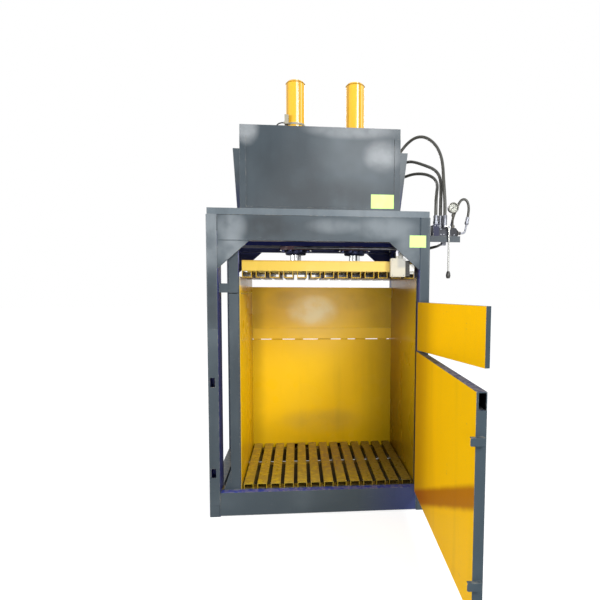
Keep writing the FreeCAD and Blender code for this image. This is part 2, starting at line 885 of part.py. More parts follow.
def make_rod(side, place):
    """Rod with its foot flange, and the piston on its upper end."""
    centre = (place, front("cylinder_depth"))
    radius = "rod_diameter / 2"
    spigot = "piston_spigot"
    shoulder = f"(piston_low - ({PLATEN_TOP}))"
    shaft = turned(f"{side}_rod", [
        ("0", "0"), ("rod_foot / 2", "0"), ("rod_foot / 2", "16"), (f"{radius} + 6", "16"),
        (radius, "22"), (radius, shoulder), (spigot, shoulder),
        (spigot, f"{shoulder} + piston_height + 6"), ("0", f"{shoulder} + piston_height + 6"),
    ], (*centre, PLATEN_TOP))
    node(shaft, f"{side}_rod")

    rim = "(barrel_bore / 2 - 0.08)"
    groove = "(barrel_bore / 2 - 5)"
    piston = turned(f"{side}_piston", [
        (spigot, "0"), (rim, "0"), (rim, "14"), (groove, "14"), (groove, "24"), (rim, "24"),
        (rim, "46"), (groove, "46"), (groove, "56"), (rim, "56"),
        (rim, "piston_height"), (spigot, "piston_height"),
    ], (*centre, "piston_low"))
    node(piston, f"{side}_piston")


def make_gland_bolts():
    """Hexagon bolt heads that hold each barrel flange up against the carrier."""
    bolts = []
    for place in cylinder_places().values():
        for number in range(int(value_of("bolt_count"))):
            turn = f"(({number} + 0.5) * 360 / bolt_count)"
            across = f"{place} + bolt_circle / 2 * cos({turn})"
            along = front(f"cylinder_depth + bolt_circle / 2 * sin({turn})")
            base = (across, along, f"{FLANGE_Z} - bolt_head")
            bolts.append(hexagon(f"bolt_head_{len(bolts) + 1}", base, "bolt_radius", "bolt_head"))
    node(group("bolt_heads", bolts), "gland_bolts")


def make_sensor():
    """Position sensor on the left barrel, held by a band clamp, with its cable gland."""
    place = cylinder_places()["left"]
    centre = (place, front("cylinder_depth"))
    foot = "sensor_level - 15"
    band = bar("sensor_band", (*centre, foot), "barrel_outer / 2 + 3", "15")
    low = (f"{place} - 76", front("cylinder_depth - 73"), foot)
    head = block("sensor_head", low, ("28", "46", "64"))
    gland_low = (f"{place} - 82", front(CABLE_GLAND[1]), "sensor_level - 5")
    gland = bar("sensor_gland", gland_low, "8", "20", ALONG_X)
    bore = bar("sensor_bore", (*centre, f"{foot} - 5"), "barrel_outer / 2 + 0.05", "90")
    solid = fuse("sensor_solid", [band, head, gland])
    node(cut("sensor_body", solid, [bore]), "cylinder_sensor")


# --------------------------------------------------------------------------- doors

def knuckle_levels(part):
    """Return the (low, high) levels of the hinge knuckles on the post or on the doors."""
    levels = []
    for low, high in (("lower_bottom", "lower_top"), ("upper_bottom", "upper_top")):
        for start in (f"{low} + 35", f"{high} - 36 - 2 * knuckle_length"):
            if part == "post":
                levels.append((start, f"{start} + knuckle_length"))
            else:
                levels.append((f"{start} + knuckle_length + 1", f"{start} + 2 * knuckle_length + 1"))
    return levels


def post_knuckle(name, low, high):
    """Lower half of a lift-off hinge: barrel, arm to the post's face and the fixed pin."""
    height = f"{high} - ({low})"
    centre = ("hinge_x", front("hinge_y"))
    barrel = bar(f"{name}_barrel", (*centre, low), "knuckle_radius", height)
    arm_size = ("knuckle_radius + 2", "1 - hinge_y", height)
    arm = block(f"{name}_arm", ("hinge_x - 4", centre[1], low), arm_size)
    pin = bar(f"{name}_pin", (*centre, low), "pin_diameter / 2", "2 * knuckle_length + 9")
    return fuse(name, [barrel, arm, pin])


def door_knuckle(name, low, high):
    """Upper half of a lift-off hinge: a bored barrel and an arm to the closed door."""
    height = f"{high} - ({low})"
    centre = ("hinge_x", front("hinge_y"))
    barrel = bar(f"{name}_barrel", (*centre, low), "knuckle_radius", height)
    arm = block(f"{name}_arm", ("hinge_x - 30", front("hinge_y - 15"), low), ("30", "24", height))
    bore_radius = "pin_diameter / 2 + pin_clearance"
    bore = bar(f"{name}_bore", (*centre, f"{low} - 1"), bore_radius, f"{height} + 2")
    return cut(name, fuse(f"{name}_solid", [barrel, arm]), [bore])


def swing(name, source, angle):
    """Turn a closed door open about the hinge line."""
    doc.recompute()
    item = doc.addObject("Part::Feature", name)
    item.Shape = source.Shape.copy()
    foot = Vector(value_of("hinge_x"), value_of(front("hinge_y")), 0)
    turn = FreeCAD.Rotation(Vector(*UP), value_of(angle))
    item.Placement = FreeCAD.Placement(Vector(), turn, foot)
    return item


def door_block(name, span, level, depth):
    """Block of a closed door: span from the hinge line, depth from the inner face outwards."""
    low = (f"hinge_x - ({span[1]})", front(f"hinge_y + door_face - ({depth[1]})"), level[0])
    sizes = [f"({high}) - ({start})" for start, high in (span, depth, level)]
    return block(name, low, sizes)


def door_tube(name, level):
    """Level tube of the lower door, open at the free edge."""
    outer = door_block(f"{name}_outer", ("20", "lower_width"), level, ("door_skin", "lower_depth"))
    inner_level = (f"{level[0]} + door_wall", f"{level[1]} - door_wall")
    depth = ("door_skin + door_wall", "lower_depth - door_wall")
    bore = door_block(f"{name}_bore", ("25", "lower_width + 1"), inner_level, depth)
    return cut(name, outer, [bore])


def door_channel(name, span, level, upright):
    """Channel of the lower door with its web on the skin and its legs outwards."""
    outer = door_block(f"{name}_outer", span, level, ("door_skin", "lower_depth"))
    across, along = (span, level) if upright else (level, span)
    across = (f"{across[0]} + door_wall", f"{across[1]} - door_wall")
    along = (f"{along[0]} - 1", f"{along[1]} + 1")
    inner_span, inner_level = (across, along) if upright else (along, across)
    depth = ("door_skin + door_wall", "lower_depth + 1")
    return cut(name, outer, [door_block(f"{name}_trough", inner_span, inner_level, depth)])


def make_lower_door():
    """Main door: skin, two level tubes, upright and level channels, and two lugs."""
    low, high = "lower_bottom", "lower_top"
    skin = new_body("lower_skin")
    sketch = new_sketch(skin, "XZ_Plane")
    rectangle(sketch, ("-lower_width", low), ("-8", high))
    pad(skin, sketch, "door_skin", reverse=True)
    move(skin, ("hinge_x", front("hinge_y + door_face - door_skin"), "0"))

    foot_top = f"{low} + lower_tube"
    head_foot = f"{high} - lower_tube"
    free_edge = "lower_width - lower_tube"
    between = (foot_top, head_foot)
    pieces = [
        skin,
        door_tube("lower_head_tube", (head_foot, high)),
        door_tube("lower_foot_tube", (low, foot_top)),
        door_channel("lower_free_channel", (free_edge, "lower_width"), between, upright=True),
        door_channel("lower_hinge_channel", ("20", "20 + lower_tube"), between, upright=True),
    ]
    for number in (1, 2):
        middle = f"({foot_top} + {number} * (lower_top - lower_bottom - 2 * lower_tube) / 3)"
        levels = (f"{middle} - rib_height / 2", f"{middle} + rib_height / 2")
        span = ("20 + lower_tube", free_edge)
        pieces.append(door_channel(f"lower_rib_{number}", span, levels, upright=False))
    for number, (start, end) in enumerate(knuckle_levels("door")[:2], start=1):
        pieces.append(door_knuckle(f"lower_knuckle_{number}", start, end))
    for number, level in enumerate(("lug_low", "lug_high"), start=1):
        pieces.append(door_lug(f"door_lug_{number}", level))
    closed = fuse("lower_door_closed", pieces)
    node(swing("lower_door", closed, "lower_angle"), "lower_door")


def door_lug(name, level):
    """Round-nosed lug on the free edge that enters a slot of the left post when closed."""
    body = new_body(name)
    sketch = new_sketch(body, "XZ_Plane")
    rectangle(sketch, ("0", "0"), ("lug_plate", "lug_height"))
    pad(body, sketch, "lug_length", reverse=True)
    nose = value_of("lug_length")
    round_along(body, ALONG_X, "8", lambda centre: abs(centre.y - nose) < 1)
    start = "hinge_x - lower_width - lug_plate"
    move(body, (start, front("hinge_y + door_face - 36"), f"{level} - lug_height / 2"))
    return body


def make_upper_door():
    """Feed flap: a folded tray with its flanges turned outwards and one level rib."""
    low, high = "upper_bottom", "upper_top"
    tray = door_block("upper_tray", ("8", "upper_width"), (low, high), ("0", "upper_depth"))
    inner_level = (f"{low} + door_wall", f"{high} - door_wall")
    depth = ("door_wall", "upper_depth + 1")
    bore = door_block("upper_bore", ("46", "upper_width - door_wall"), inner_level, depth)
    edge_level = (f"{low} - 1", f"{high} + 1")
    relief = door_block("upper_relief", ("7", "20"), edge_level, ("door_skin", "upper_depth + 1"))
    middle = f"({low} + {high}) / 2"
    rib_level = (f"{middle} - 20", f"{middle} + 20")
    rib = door_block("upper_rib", ("40", "upper_width - 2"), rib_level, ("2", "upper_depth - 4"))
    pieces = [cut("upper_shell", tray, [bore, relief]), rib]
    for number, (start, end) in enumerate(knuckle_levels("door")[2:], start=1):
        pieces.append(door_knuckle(f"upper_knuckle_{number}", start, end))
    closed = fuse("upper_door_closed", pieces)
    node(swing("upper_door", closed, "upper_angle"), "upper_door")


# --------------------------------------------------------------------------- guards

def make_front_guard():
    """Folded front cover: panel, returned edges and raised strips down both sides."""
    left = "(guard_middle - guard_width / 2)"
    right = f"({left} + guard_width)"
    face = front("guard_front + guard_step")
    raised = front("guard_front")
    step = "guard_step + 1"
    head_low = (left, face, f"{DECK_TOP} + guard_height - guard_sheet")
    pieces = [
        block("guard_panel", (left, face, DECK_TOP), ("guard_width", "guard_sheet", "guard_height")),
        block("guard_head", head_low, ("guard_width", "30", "guard_sheet")),
        block("guard_foot", (left, face, DECK_TOP), ("guard_width", "50", "guard_sheet + 1")),
        block("guard_sole", (left, raised, DECK_TOP), ("guard_width", step, "14")),
    ]
    return_size = ("guard_sheet", "45", "guard_height")
    strip_size = ("guard_strip", step, "guard_height - 65")
    for side, x, strip_x in (
        ("left", left, left),
        ("right", f"{right} - guard_sheet", f"{right} - guard_strip"),
    ):
        pieces.append(block(f"guard_{side}_return", (x, face, DECK_TOP), return_size))
        pieces.append(block(f"guard_{side}_strip", (strip_x, raised, DECK_TOP), strip_size))
    for number in (1, 2):
        x = f"{left} + {number} * guard_width / 3 - 15"
        pieces.append(block(f"guard_stay_{number}", (x, face, DECK_TOP), ("30", "18", "guard_height")))
    node(fuse("front_guard", pieces), "front_guard")


def make_rear_guard():
    """Flared sheet behind the cylinders, with a foot, a folded top and two stays."""
    panel = new_body("hood_sheet")
    sketch = new_sketch(panel, "XZ_Plane")
    polygon(sketch, [
        ("hood_left_foot", "0"), ("hood_right_foot", "0"),
        ("hood_right_top", "hood_height"), ("hood_left_top", "hood_height"),
    ])
    pad(panel, sketch, "guard_sheet", reverse=True)
    hole = new_sketch(panel, "XZ_Plane")
    circle(hole, ("bulkhead_x", f"bulkhead_z - ({DECK_TOP})"), "pipe_diameter / 2 + 1")
    pocket(panel, hole)
    face = front("hood_depth")
    move(panel, ("0", face, DECK_TOP))
    foot_size = ("hood_right_foot - hood_left_foot", "40", "guard_sheet + 1")
    head_size = ("hood_right_top - hood_left_top", "12", "guard_sheet")
    head_low = ("hood_left_top", face, f"{DECK_TOP} + hood_height - guard_sheet")
    pieces = [
        panel,
        block("hood_foot", ("hood_left_foot", face, DECK_TOP), foot_size),
        block("hood_head", head_low, head_size),
    ]
    for number, place in enumerate(("hood_left_foot + 130", "hood_right_foot - 90"), start=1):
        stay = new_body(f"hood_stay_{number}")
        sketch = new_sketch(stay, "YZ_Plane")
        top = "hood_height - 60"
        polygon(sketch, [("0", "0"), ("hood_stay", "0"), ("20", top), ("0", top)])
        pad(stay, sketch, "5")
        move(stay, (place, front("hood_depth + 1"), DECK_TOP))
        pieces.append(stay)
    node(fuse("rear_guard", pieces), "rear_guard")


# --------------------------------------------------------------------------- power unit

LID_TOP = f"{DECK_TOP} + tank_height"
TANK_RIGHT = "(tank_left + tank_width)"
BREATHER = ("tank_left + breather_inset", front("tank_front + breather_inset"))
MOTOR = ("motor_x", front("motor_y"))


def make_power_unit():
    """Oil tank with its lid and fittings, motor, shaft and the pump inside the tank."""
    make_tank()
    make_tank_fittings()
    make_motor()
    make_pump()


def make_tank():
    """Welded tank: box, lid with a bolting edge and outlet block."""
    low = ("tank_left", front("tank_front"), DECK_TOP)
    outside = block("tank_outside", low, ("tank_width", "tank_depth", "tank_height"))
    inside_low = ("tank_left + tank_wall", front("tank_front + tank_wall"), f"{DECK_TOP} + tank_wall")
    inside_size = (
        "tank_width - 2 * tank_wall", "tank_depth - 2 * tank_wall", "tank_height - lid_plate - tank_wall",
    )
    inside = block("tank_inside", inside_low, inside_size)
    lid_low = ("tank_left - lid_edge", front("tank_front - lid_edge"), f"{LID_TOP} - lid_plate")
    lid_size = ("tank_width + 2 * lid_edge", "tank_depth + 2 * lid_edge", "lid_plate")
    lid = block("tank_lid", lid_low, lid_size)
    half = "outlet_block / 2"
    outlet_low = (f"{TANK_RIGHT} - 10 - outlet_block", front(f"outlet_y - {half}"), f"{LID_TOP} - 1")
    outlet_size = ("outlet_block", "outlet_block", f"outlet_z + {half} - ({LID_TOP})")
    outlet = block("tank_outlet", outlet_low, outlet_size)
    mouth = bar("motor_mouth", (*MOTOR, f"{LID_TOP} - 40"), "shaft_radius + 4", "60")
    breather = bar("breather_mouth", (*BREATHER, f"{LID_TOP} - 40"), "15", "60")
    shell = fuse("tank_shell", [outside, lid, outlet])
    node(cut("tank_weldment", shell, [inside, mouth, breather]), "oil_tank")


def make_tank_fittings():
    """Breather cap, and the hose ends at the outlet block and on the tank's side."""
    cap = turned("breather_cap", [
        ("0", "-30"), ("14.5", "-30"), ("14.5", "0"), ("26", "0"), ("26", "6"), ("20", "10"),
        ("20", "22"), ("34", "26"), ("34", "52"), ("28", "60"), ("0", "60"),
    ], (*BREATHER, LID_TOP))
    outlet_place = (f"{TANK_RIGHT} - 10", front("outlet_y"), "outlet_z")
    return_place = (TANK_RIGHT, front("return_y"), "return_z")
    outlet = hose_end("outlet_end", outlet_place, ALONG_X, "43")
    back = hose_end("return_end", return_place, ALONG_X, "38")
    node(group("tank_end_fittings", [cap, outlet, back]), "tank_fittings")


def hose_end(name, base, direction, ferrule_length, scale="1"):
    """Nut and crimped ferrule at the end of a hose."""
    nut = hexagon(f"{name}_nut", base, f"nut_radius * {scale}", "nut_height", direction)
    start = [f"{text} + {step} * nut_height" for text, step in zip(base, direction)]
    ferrule = bar(f"{name}_ferrule", start, f"ferrule_radius * {scale}", ferrule_length, direction)
    return fuse(name, [nut, ferrule])


def make_motor():
    """Upright motor: finned housing with its fan cover, and the shaft with rotor and fan."""
    hole = "(shaft_radius + shaft_clearance)"
    core = "(motor_radius - fin_height)"
    place = (*MOTOR, LID_TOP)
    housing = turned("motor_housing", [
        (hole, "0"), ("motor_radius + 20", "0"), ("motor_radius + 20", "14"), (core, "14"),
        (core, "218"), ("motor_radius", "218"), ("motor_radius", "288"),
        ("motor_radius - 12", "motor_height"), ("28", "motor_height"), ("28", "motor_height - 3"),
        ("motor_radius - 13", "motor_height - 3"), ("motor_radius - 3", "287"),
        ("motor_radius - 3", "224"), (hole, "224"), (hole, "208"), (f"{core} - 10", "208"),
        (f"{core} - 10", "20"), (hole, "20"),
    ], place)
    fin = new_sketch(housing, "XY_Plane", level=24)
    rectangle(fin, (f"{core} - 2", "-2"), ("motor_radius - 1", "2"))
    fin_pad = pad(housing, fin, "fin_length")
    fins = housing.newObject("PartDesign::PolarPattern", "motor_fins")
    fins.Originals = [fin_pad]
    fins.Axis = (fin, ["N_Axis"])
    fins.Angle = 360
    fins.setExpression("Occurrences", cells("fin_count"))
    housing.Tip = fins
    node(housing, "motor_housing")

    shaft = turned("motor_shaft", [
        ("0", "-120"), ("shaft_radius", "-120"), ("shaft_radius", "36"), ("52", "36"), ("52", "190"),
        ("shaft_radius", "190"), ("shaft_radius", "240"), ("66", "240"), ("66", "246"),
        ("22", "250"), ("22", "272"), ("0", "272"),
    ], place)
    node(shaft, "motor_shaft")


def make_pump():
    """Pump under the lid, driven by the motor's shaft, with its suction pipe."""
    low = ("motor_x - 60", front("motor_y - 50"), f"{LID_TOP} - lid_plate - pump_height")
    casing = block("pump_casing", low, ("120", "100", "pump_height"))
    suction = bar("pump_suction", (*MOTOR, f"{DECK_TOP} + 60"), "22", "140")
    bore = bar("pump_bore", (*MOTOR, f"{LID_TOP} - 124"), "shaft_radius + shaft_clearance", "124")
    node(cut("pump_bored", fuse("pump_solid", [casing, suction]), [bore]), "hydraulic_pump")


# --------------------------------------------------------------------------- valve group

VALVE_TOP = "(shelf_top + valve_height)"
TOWER_TOP = "(shelf_top + valve_tower)"
SPOOL = (front("valve_front + valve_depth / 2"), "shelf_top + valve_height / 2 - 4")
VALVE_PORTS = {
    "cap_side": ("833", "88", VALVE_TOP),
    "pressure": ("812", "120", VALVE_TOP),
    "return": ("775", "102", TOWER_TOP),
}
LOOP_END_ROUTE = [(995, 105, 1966), (986.6, 102.2, 1918.4), (974, 102, 1861)]


def make_valve_group():
    """Bracket, lever valve, fittings, lever and pressure gauge on the right-hand post."""
    make_valve_bracket()
    make_valve_body()
    make_valve_fittings()
    make_lever()
    make_gauge()


def make_valve_bracket():
    """Folded shelf: top plate, front lip and side plate on the post, with one hole."""
    depth = front("shelf_front")
    top_size = ("shelf_length", "shelf_depth", "shelf_plate")
    side_size = ("shelf_plate", "shelf_depth", "shelf_side")
    pieces = [
        block("shelf_top_plate", (HALF, depth, "shelf_top - shelf_plate"), top_size),
        block("shelf_lip_plate", (HALF, depth, "shelf_top - shelf_lip"),
              ("shelf_length", "shelf_plate", "shelf_lip")),
        block("shelf_side_plate", (HALF, depth, "shelf_top - shelf_side"), side_size),
    ]
    hole = bar("shelf_hole", ("drop_x", front("drop_y"), "shelf_top - 20"), "20", "40")
    node(cut("shelf_bored", fuse("shelf_weldment", pieces), [hole]), "valve_bracket")


def make_valve_body():
    """Stepped valve casting with its spool cap, the lever's fork plate and pin."""
    casting = new_body("valve_casting")
    sketch = new_sketch(casting, "XZ_Plane")
    polygon(sketch, [
        ("0", "0"), ("valve_width", "0"), ("valve_width", "valve_height - 8"),
        ("valve_width - 8", "valve_height"), ("42", "valve_height"),
        ("39", "valve_tower"), ("4", "valve_tower"), ("0", "valve_tower - 4"),
    ])
    pad(casting, sketch, "valve_depth", reverse=True)
    back = value_of("valve_depth")
    level = value_of("valve_height")

    def upper_edge(centre):
        return min(centre.y, back - centre.y) < 1 and abs(centre.z - level) < 1

    round_along(casting, ALONG_X, "6", upper_edge)
    move(casting, ("valve_left", front("valve_front"), "shelf_top"))
    right = "valve_left + valve_width"
    fork_low = ("lever_x - 15", front("valve_front - 5"), "lever_z - 30")
    pin_low = ("lever_x", front("lever_y - 11"), "lever_z")
    pieces = [
        casting,
        bar("valve_cap", (f"{right} - 6", *SPOOL), "20", "22", ALONG_X),
        hexagon("valve_relief", (f"{right} + 14", *SPOOL), "11", "22", ALONG_X),
        block("valve_fork", fork_low, ("30", "8", "44")),
        bar("valve_pin", pin_low, "lever_pin", "valve_front + 13 - lever_y", ALONG_Y),
    ]
    node(fuse("valve_weldment", pieces), "valve_body")


def make_valve_fittings():
    """Hose ends on the valve, the gauge loop's two ends and the elbow below the shelf."""
    pieces = []
    for name, (x, depth, foot) in VALVE_PORTS.items():
        length = f"hose_level - nut_height - {foot}"
        pieces.append(hose_end(f"{name}_end", (x, front(depth), foot), UP, length))
    loop_length = f"loop_level - nut_height * 0.72 - {VALVE_TOP}"
    loop_place = ("loop_x", front("loop_y"), VALVE_TOP)
    pieces.append(loop_start(loop_place, loop_length))
    pieces.append(loop_end())
    stub = bar("drop_stub", ("drop_x", front("drop_y"), "drop_z + 12"), "12", "shelf_top - drop_z - 12")
    knee_low = ("drop_x - 14", front("drop_y - 14"), "drop_z - 14")
    knee = block("drop_knee", knee_low, ("28", "28", "28"))
    spigot = bar("drop_spigot", ("drop_x", front("drop_y + 12"), "drop_z"), "13", "20", ALONG_Y)
    pieces.append(fuse("drop_end", [stub, knee, spigot]))
    node(group("valve_end_fittings", pieces), "valve_fittings")


def loop_start(place, length):
    """Small nut and ferrule where the gauge loop leaves the valve."""
    nut = hexagon("loop_nut", place, "13", "nut_height * 0.72")
    ferrule_low = (place[0], place[1], f"{place[2]} + nut_height * 0.72")
    ferrule = bar("loop_first_ferrule", ferrule_low, "loop_diameter / 2 + 2", length)
    return fuse("loop_first_end", [nut, ferrule])


def loop_end():
    """Bent steel end of the gauge loop, with its ferrule."""
    start, second, third = LOOP_END_ROUTE
    spool_z = value_of(SPOOL[1])
    last = (value_of("valve_left + valve_width + 36"), 102, spool_z)
    bend = tube_along("loop_bend", [start, second, third, last], "loop_diameter - 4", 20)
    places = [Vector(x, value_of(front(depth)), z) for x, depth, z in (start, second)]
    ferrule = doc.addObject("Part::Cylinder", "loop_last_ferrule")
    ferrule.setExpression("Radius", cells("loop_diameter / 2 + 2"))
    ferrule.Height = 30
    turn = FreeCAD.Rotation(Vector(*UP), places[1] - places[0])
    ferrule.Placement = FreeCAD.Placement(places[0], turn)
    return fuse("loop_last_end", [bend, ferrule])


def make_lever():
    """Hand lever that hangs in front of the valve, and its knob."""
    foot = "lever_z - lever_length"
    hub = bar("lever_ring", ("lever_x", front("lever_y - 9"), "lever_z"), "lever_hub", "18", ALONG_Y)
    stick = bar("lever_stick", ("lever_x", front("lever_y"), foot), "6", "lever_length")
    hole_low = ("lever_x", front("lever_y - 10"), "lever_z")
    hole = bar("lever_hole", hole_low, "lever_pin + pin_clearance", "20", ALONG_Y)
    node(cut("lever_bored", fuse("lever_solid", [hub, stick]), [hole]), "control_lever")
    knob = turned("lever_knob", [
        ("0", "-40"), ("9", "-40"), ("13", "-34"), ("15.5", "-20"), ("13", "-4"), ("9", "6"),
        ("6", "8"), ("6", "0"), ("0", "0"),
    ], ("lever_x", front("lever_y"), foot))
    node(knob, "lever_knob")


def make_gauge():
    """Pressure gauge: case with stem, needle and glass."""
    x, z = "gauge_x", "gauge_z"
    inner = "(gauge_radius - 4)"
    stem_y = front("gauge_front + gauge_depth / 2")
    cup = bar("gauge_cup", (x, front("gauge_front"), z), "gauge_radius", "gauge_depth", ALONG_Y)
    mouth = bar("gauge_mouth", (x, front("gauge_front - 1"), z), inner, "13", ALONG_Y)
    stem = bar("gauge_stem", (x, stem_y, VALVE_TOP), "6", f"{z} - {inner} - {VALVE_TOP}")
    nut = hexagon("gauge_nut", (x, stem_y, VALVE_TOP), "13", "20")
    collar = hexagon("gauge_collar", (x, stem_y, f"{z} - gauge_radius - 22"), "10", "14")
    hollow = cut("gauge_shell", fuse("gauge_solid", [cup, stem, nut, collar]), [mouth])
    post = bar("needle_post", (x, front("gauge_front + 5"), z), "2", "8", ALONG_Y)
    node(fuse("gauge_with_post", [hollow, post]), "gauge_case")

    blade = new_body("needle_blade")
    sketch = new_sketch(blade, "XZ_Plane")
    polygon(sketch, [("-1.6", "8"), ("-0.5", "-24"), ("0.5", "-24"), ("1.6", "8")])
    pad(blade, sketch, "1", reverse=True)
    blade.Placement.Rotation = FreeCAD.Rotation(Vector(*ALONG_Y), 45)
    move(blade, (x, front("gauge_front + 6"), z))
    hub = bar("needle_hub", (x, front("gauge_front + 6"), z), "4.5", "2", ALONG_Y)
    hole = bar("needle_hole", (x, front("gauge_front + 4"), z), "2.05", "6", ALONG_Y)
    node(cut("needle_bored", fuse("needle_solid", [hub, blade]), [hole]), "gauge_needle")
    glass = bar("gauge_glass", (x, front("gauge_front + 1"), z), inner, "2.5", ALONG_Y)
    node(glass, "gauge_glass")


# --------------------------------------------------------------------------- switch box

def make_switch_group():
    """Switch box with its gland, the bracket under the header, and the limit switch."""
    case = new_body("box_case")
    sketch = new_sketch(case, "XZ_Plane")
    rectangle(sketch, ("0", "0"), ("box_width", "box_height"))
    pad(case, sketch, "box_depth", reverse=True)
    round_along(case, ALONG_Y, "5", lambda centre: True)
    move(case, ("box_left", front("box_front"), "box_bottom"))
    lid_low = ("box_left + 3", front("box_front - 2"), "box_bottom + 3")
    lid = block("box_lid", lid_low, ("box_width - 6", "3", "box_height - 6"))
    gland_place = ("box_left + 46", front("box_front + box_depth / 2"))
    gland = hexagon("box_gland", (*gland_place, "box_bottom + box_height - 1"), "10", "17")
    neck = bar("box_neck", (*gland_place, "box_bottom + box_height + 15"), "7", "36")
    node(fuse("box_with_gland", [case, lid, gland, neck]), "switch_box")

    strap_low = ("box_left + 60", front("box_front + box_depth"), "box_bottom + 20")
    strap = block("bracket_strap", strap_low, ("30", "4", f"{BEAM_Z} - box_bottom - 20"))
    plate = block("bracket_plate", strap_low, ("100", "4", "60"))
    node(fuse("bracket_weldment", [strap, plate]), "switch_bracket")

    right = "box_left + box_width"
    body_low = (f"{right} + 3", front("box_front + 10"), "box_bottom + 6")
    head_low = (f"{right} + 30", front("box_front + 8"), "box_bottom + 37")
    pieces = [
        block("switch_body", body_low, ("28", "26", "100")),
        block("switch_head", head_low, ("30", "26", "45")),
    ]
    for number in range(4):
        rib_low = (f"{right} + 5 + 7 * {number}", front("box_front + 7"), "box_bottom + 12")
        pieces.append(block(f"switch_rib_{number + 1}", rib_low, ("3", "4", "88")))
    node(fuse("switch_with_head", pieces), "limit_switch")


# --------------------------------------------------------------------------- pipes and hoses

def rounded_path(points, radius=None):
    """Join straight runs by tangent arcs, and return the path with the arcs' radii."""
    edges = []
    radii = []
    start = points[0]
    for before, corner, after in zip(points, points[1:], points[2:]):
        back = before - corner
        ahead = after - corner
        turn = math.pi - back.getAngle(ahead)
        reach = 0.45 * min(back.Length, ahead.Length)
        if radius is not None:
            reach = radius * math.tan(turn / 2)
        radii.append(reach / math.tan(turn / 2))
        back.normalize()
        ahead.normalize()
        inward = back + ahead
        inward.normalize()
        middle = corner + inward * (radii[-1] * (1 / math.cos(turn / 2) - 1))
        arc_start = corner + back * reach
        arc_end = corner + ahead * reach
        edges.append(Part.LineSegment(start, arc_start).toShape())
        edges.append(Part.Arc(arc_start, middle, arc_end).toShape())
        start = arc_end
    edges.append(Part.LineSegment(start, points[-1]).toShape())
    return Part.Wire(edges), radii


def tube_along(name, points, diameter, radius=None):
    """Make a round tube along a route of (X, depth behind the front plane, Z) points."""
    places = [Vector(x, value_of(front(depth)), z) for x, depth, z in points]
    path, radii = rounded_path(places, radius)
    section = value_of(diameter)
    disc = Part.Wire([Part.Circle(places[0], places[1] - places[0], section / 2).toShape()])
    item = doc.addObject("Part::Feature", name)
    item.Shape = path.makePipeShell([disc], True, False)
    ratio = item.Shape.Volume / (math.pi * section ** 2 / 4 * path.Length)
    print(f"{name}: volume {ratio:.4f} of section x length, radii {[round(value) for value in radii]}, "
          f"least {min(radii) / section:.1f} diameters")
    return item


def make_pipes():
    """Steel pipes: one to the rod sides and one to the cap ports of both cylinders."""
    make_rod_side_pipe()
    make_cap_side_pipe()


def make_rod_side_pipe():
    """Level pipe under the carrier with a branch to each flange and a hose end outside."""
    radius = "pipe_diameter / 2"
    places = cylinder_places()
    level = (front("rod_pipe_y"), "rod_pipe_z")
    left = f"({places['left']} - {radius})"
    reach = "cylinder_depth - barrel_flange / 2 - rod_pipe_y + 0.3"
    pieces = [
        bar("rod_pipe_run", (left, *level), radius, f"rod_pipe_end + 4 - {left}", ALONG_X),
        hexagon("rod_pipe_nut", ("rod_pipe_end", *level), "15", "nut_height", ALONG_X),
        bar("rod_pipe_ferrule", ("rod_pipe_end + nut_height", *level), "13", "42", ALONG_X),
    ]
    for side, place in places.items():
        pieces.append(bar(f"rod_pipe_{side}_branch", (place, *level), radius, reach, ALONG_Y))
    node(fuse("rod_pipe_weldment", pieces), "rod_side_pipe")


def make_cap_side_pipe():
    """Pipe from both cap ports down behind the cylinders and out through the rear guard."""
    places = {side: value_of(text) for side, text in cylinder_places().items()}
    face = value_of("cylinder_depth + port_reach")
    behind = face + value_of("pipe_bend") + 3
    top = value_of("port_level")
    level = value_of("bulkhead_z")
    outlet = value_of("bulkhead_x")
    run = [(places["left"], face, top), (places["left"], behind, top), (places["left"], behind, level)]
    run += [(outlet, behind, level), (outlet, 640, level)]
    drop = [(places["right"], face, top), (places["right"], behind, top), (places["right"], behind, level)]
    bend = value_of("pipe_bend")
    elbow_low = ("bulkhead_x - 15", front("641"), "bulkhead_z - 15")
    pieces = [
        tube_along("cap_pipe_run", run, "pipe_diameter", bend),
        tube_along("cap_pipe_drop", drop, "pipe_diameter", bend),
        bar("cap_elbow_stub", ("bulkhead_x", front("639"), "bulkhead_z"), "pipe_diameter / 2", "6", ALONG_Y),
        block("cap_elbow", elbow_low, ("30", "30", "32")),
        hose_end("cap_elbow_end", ("bulkhead_x", front("656"), "bulkhead_z + 16"), UP, "37"),
    ]
    node(fuse("cap_pipe_weldment", pieces), "cap_side_pipe")


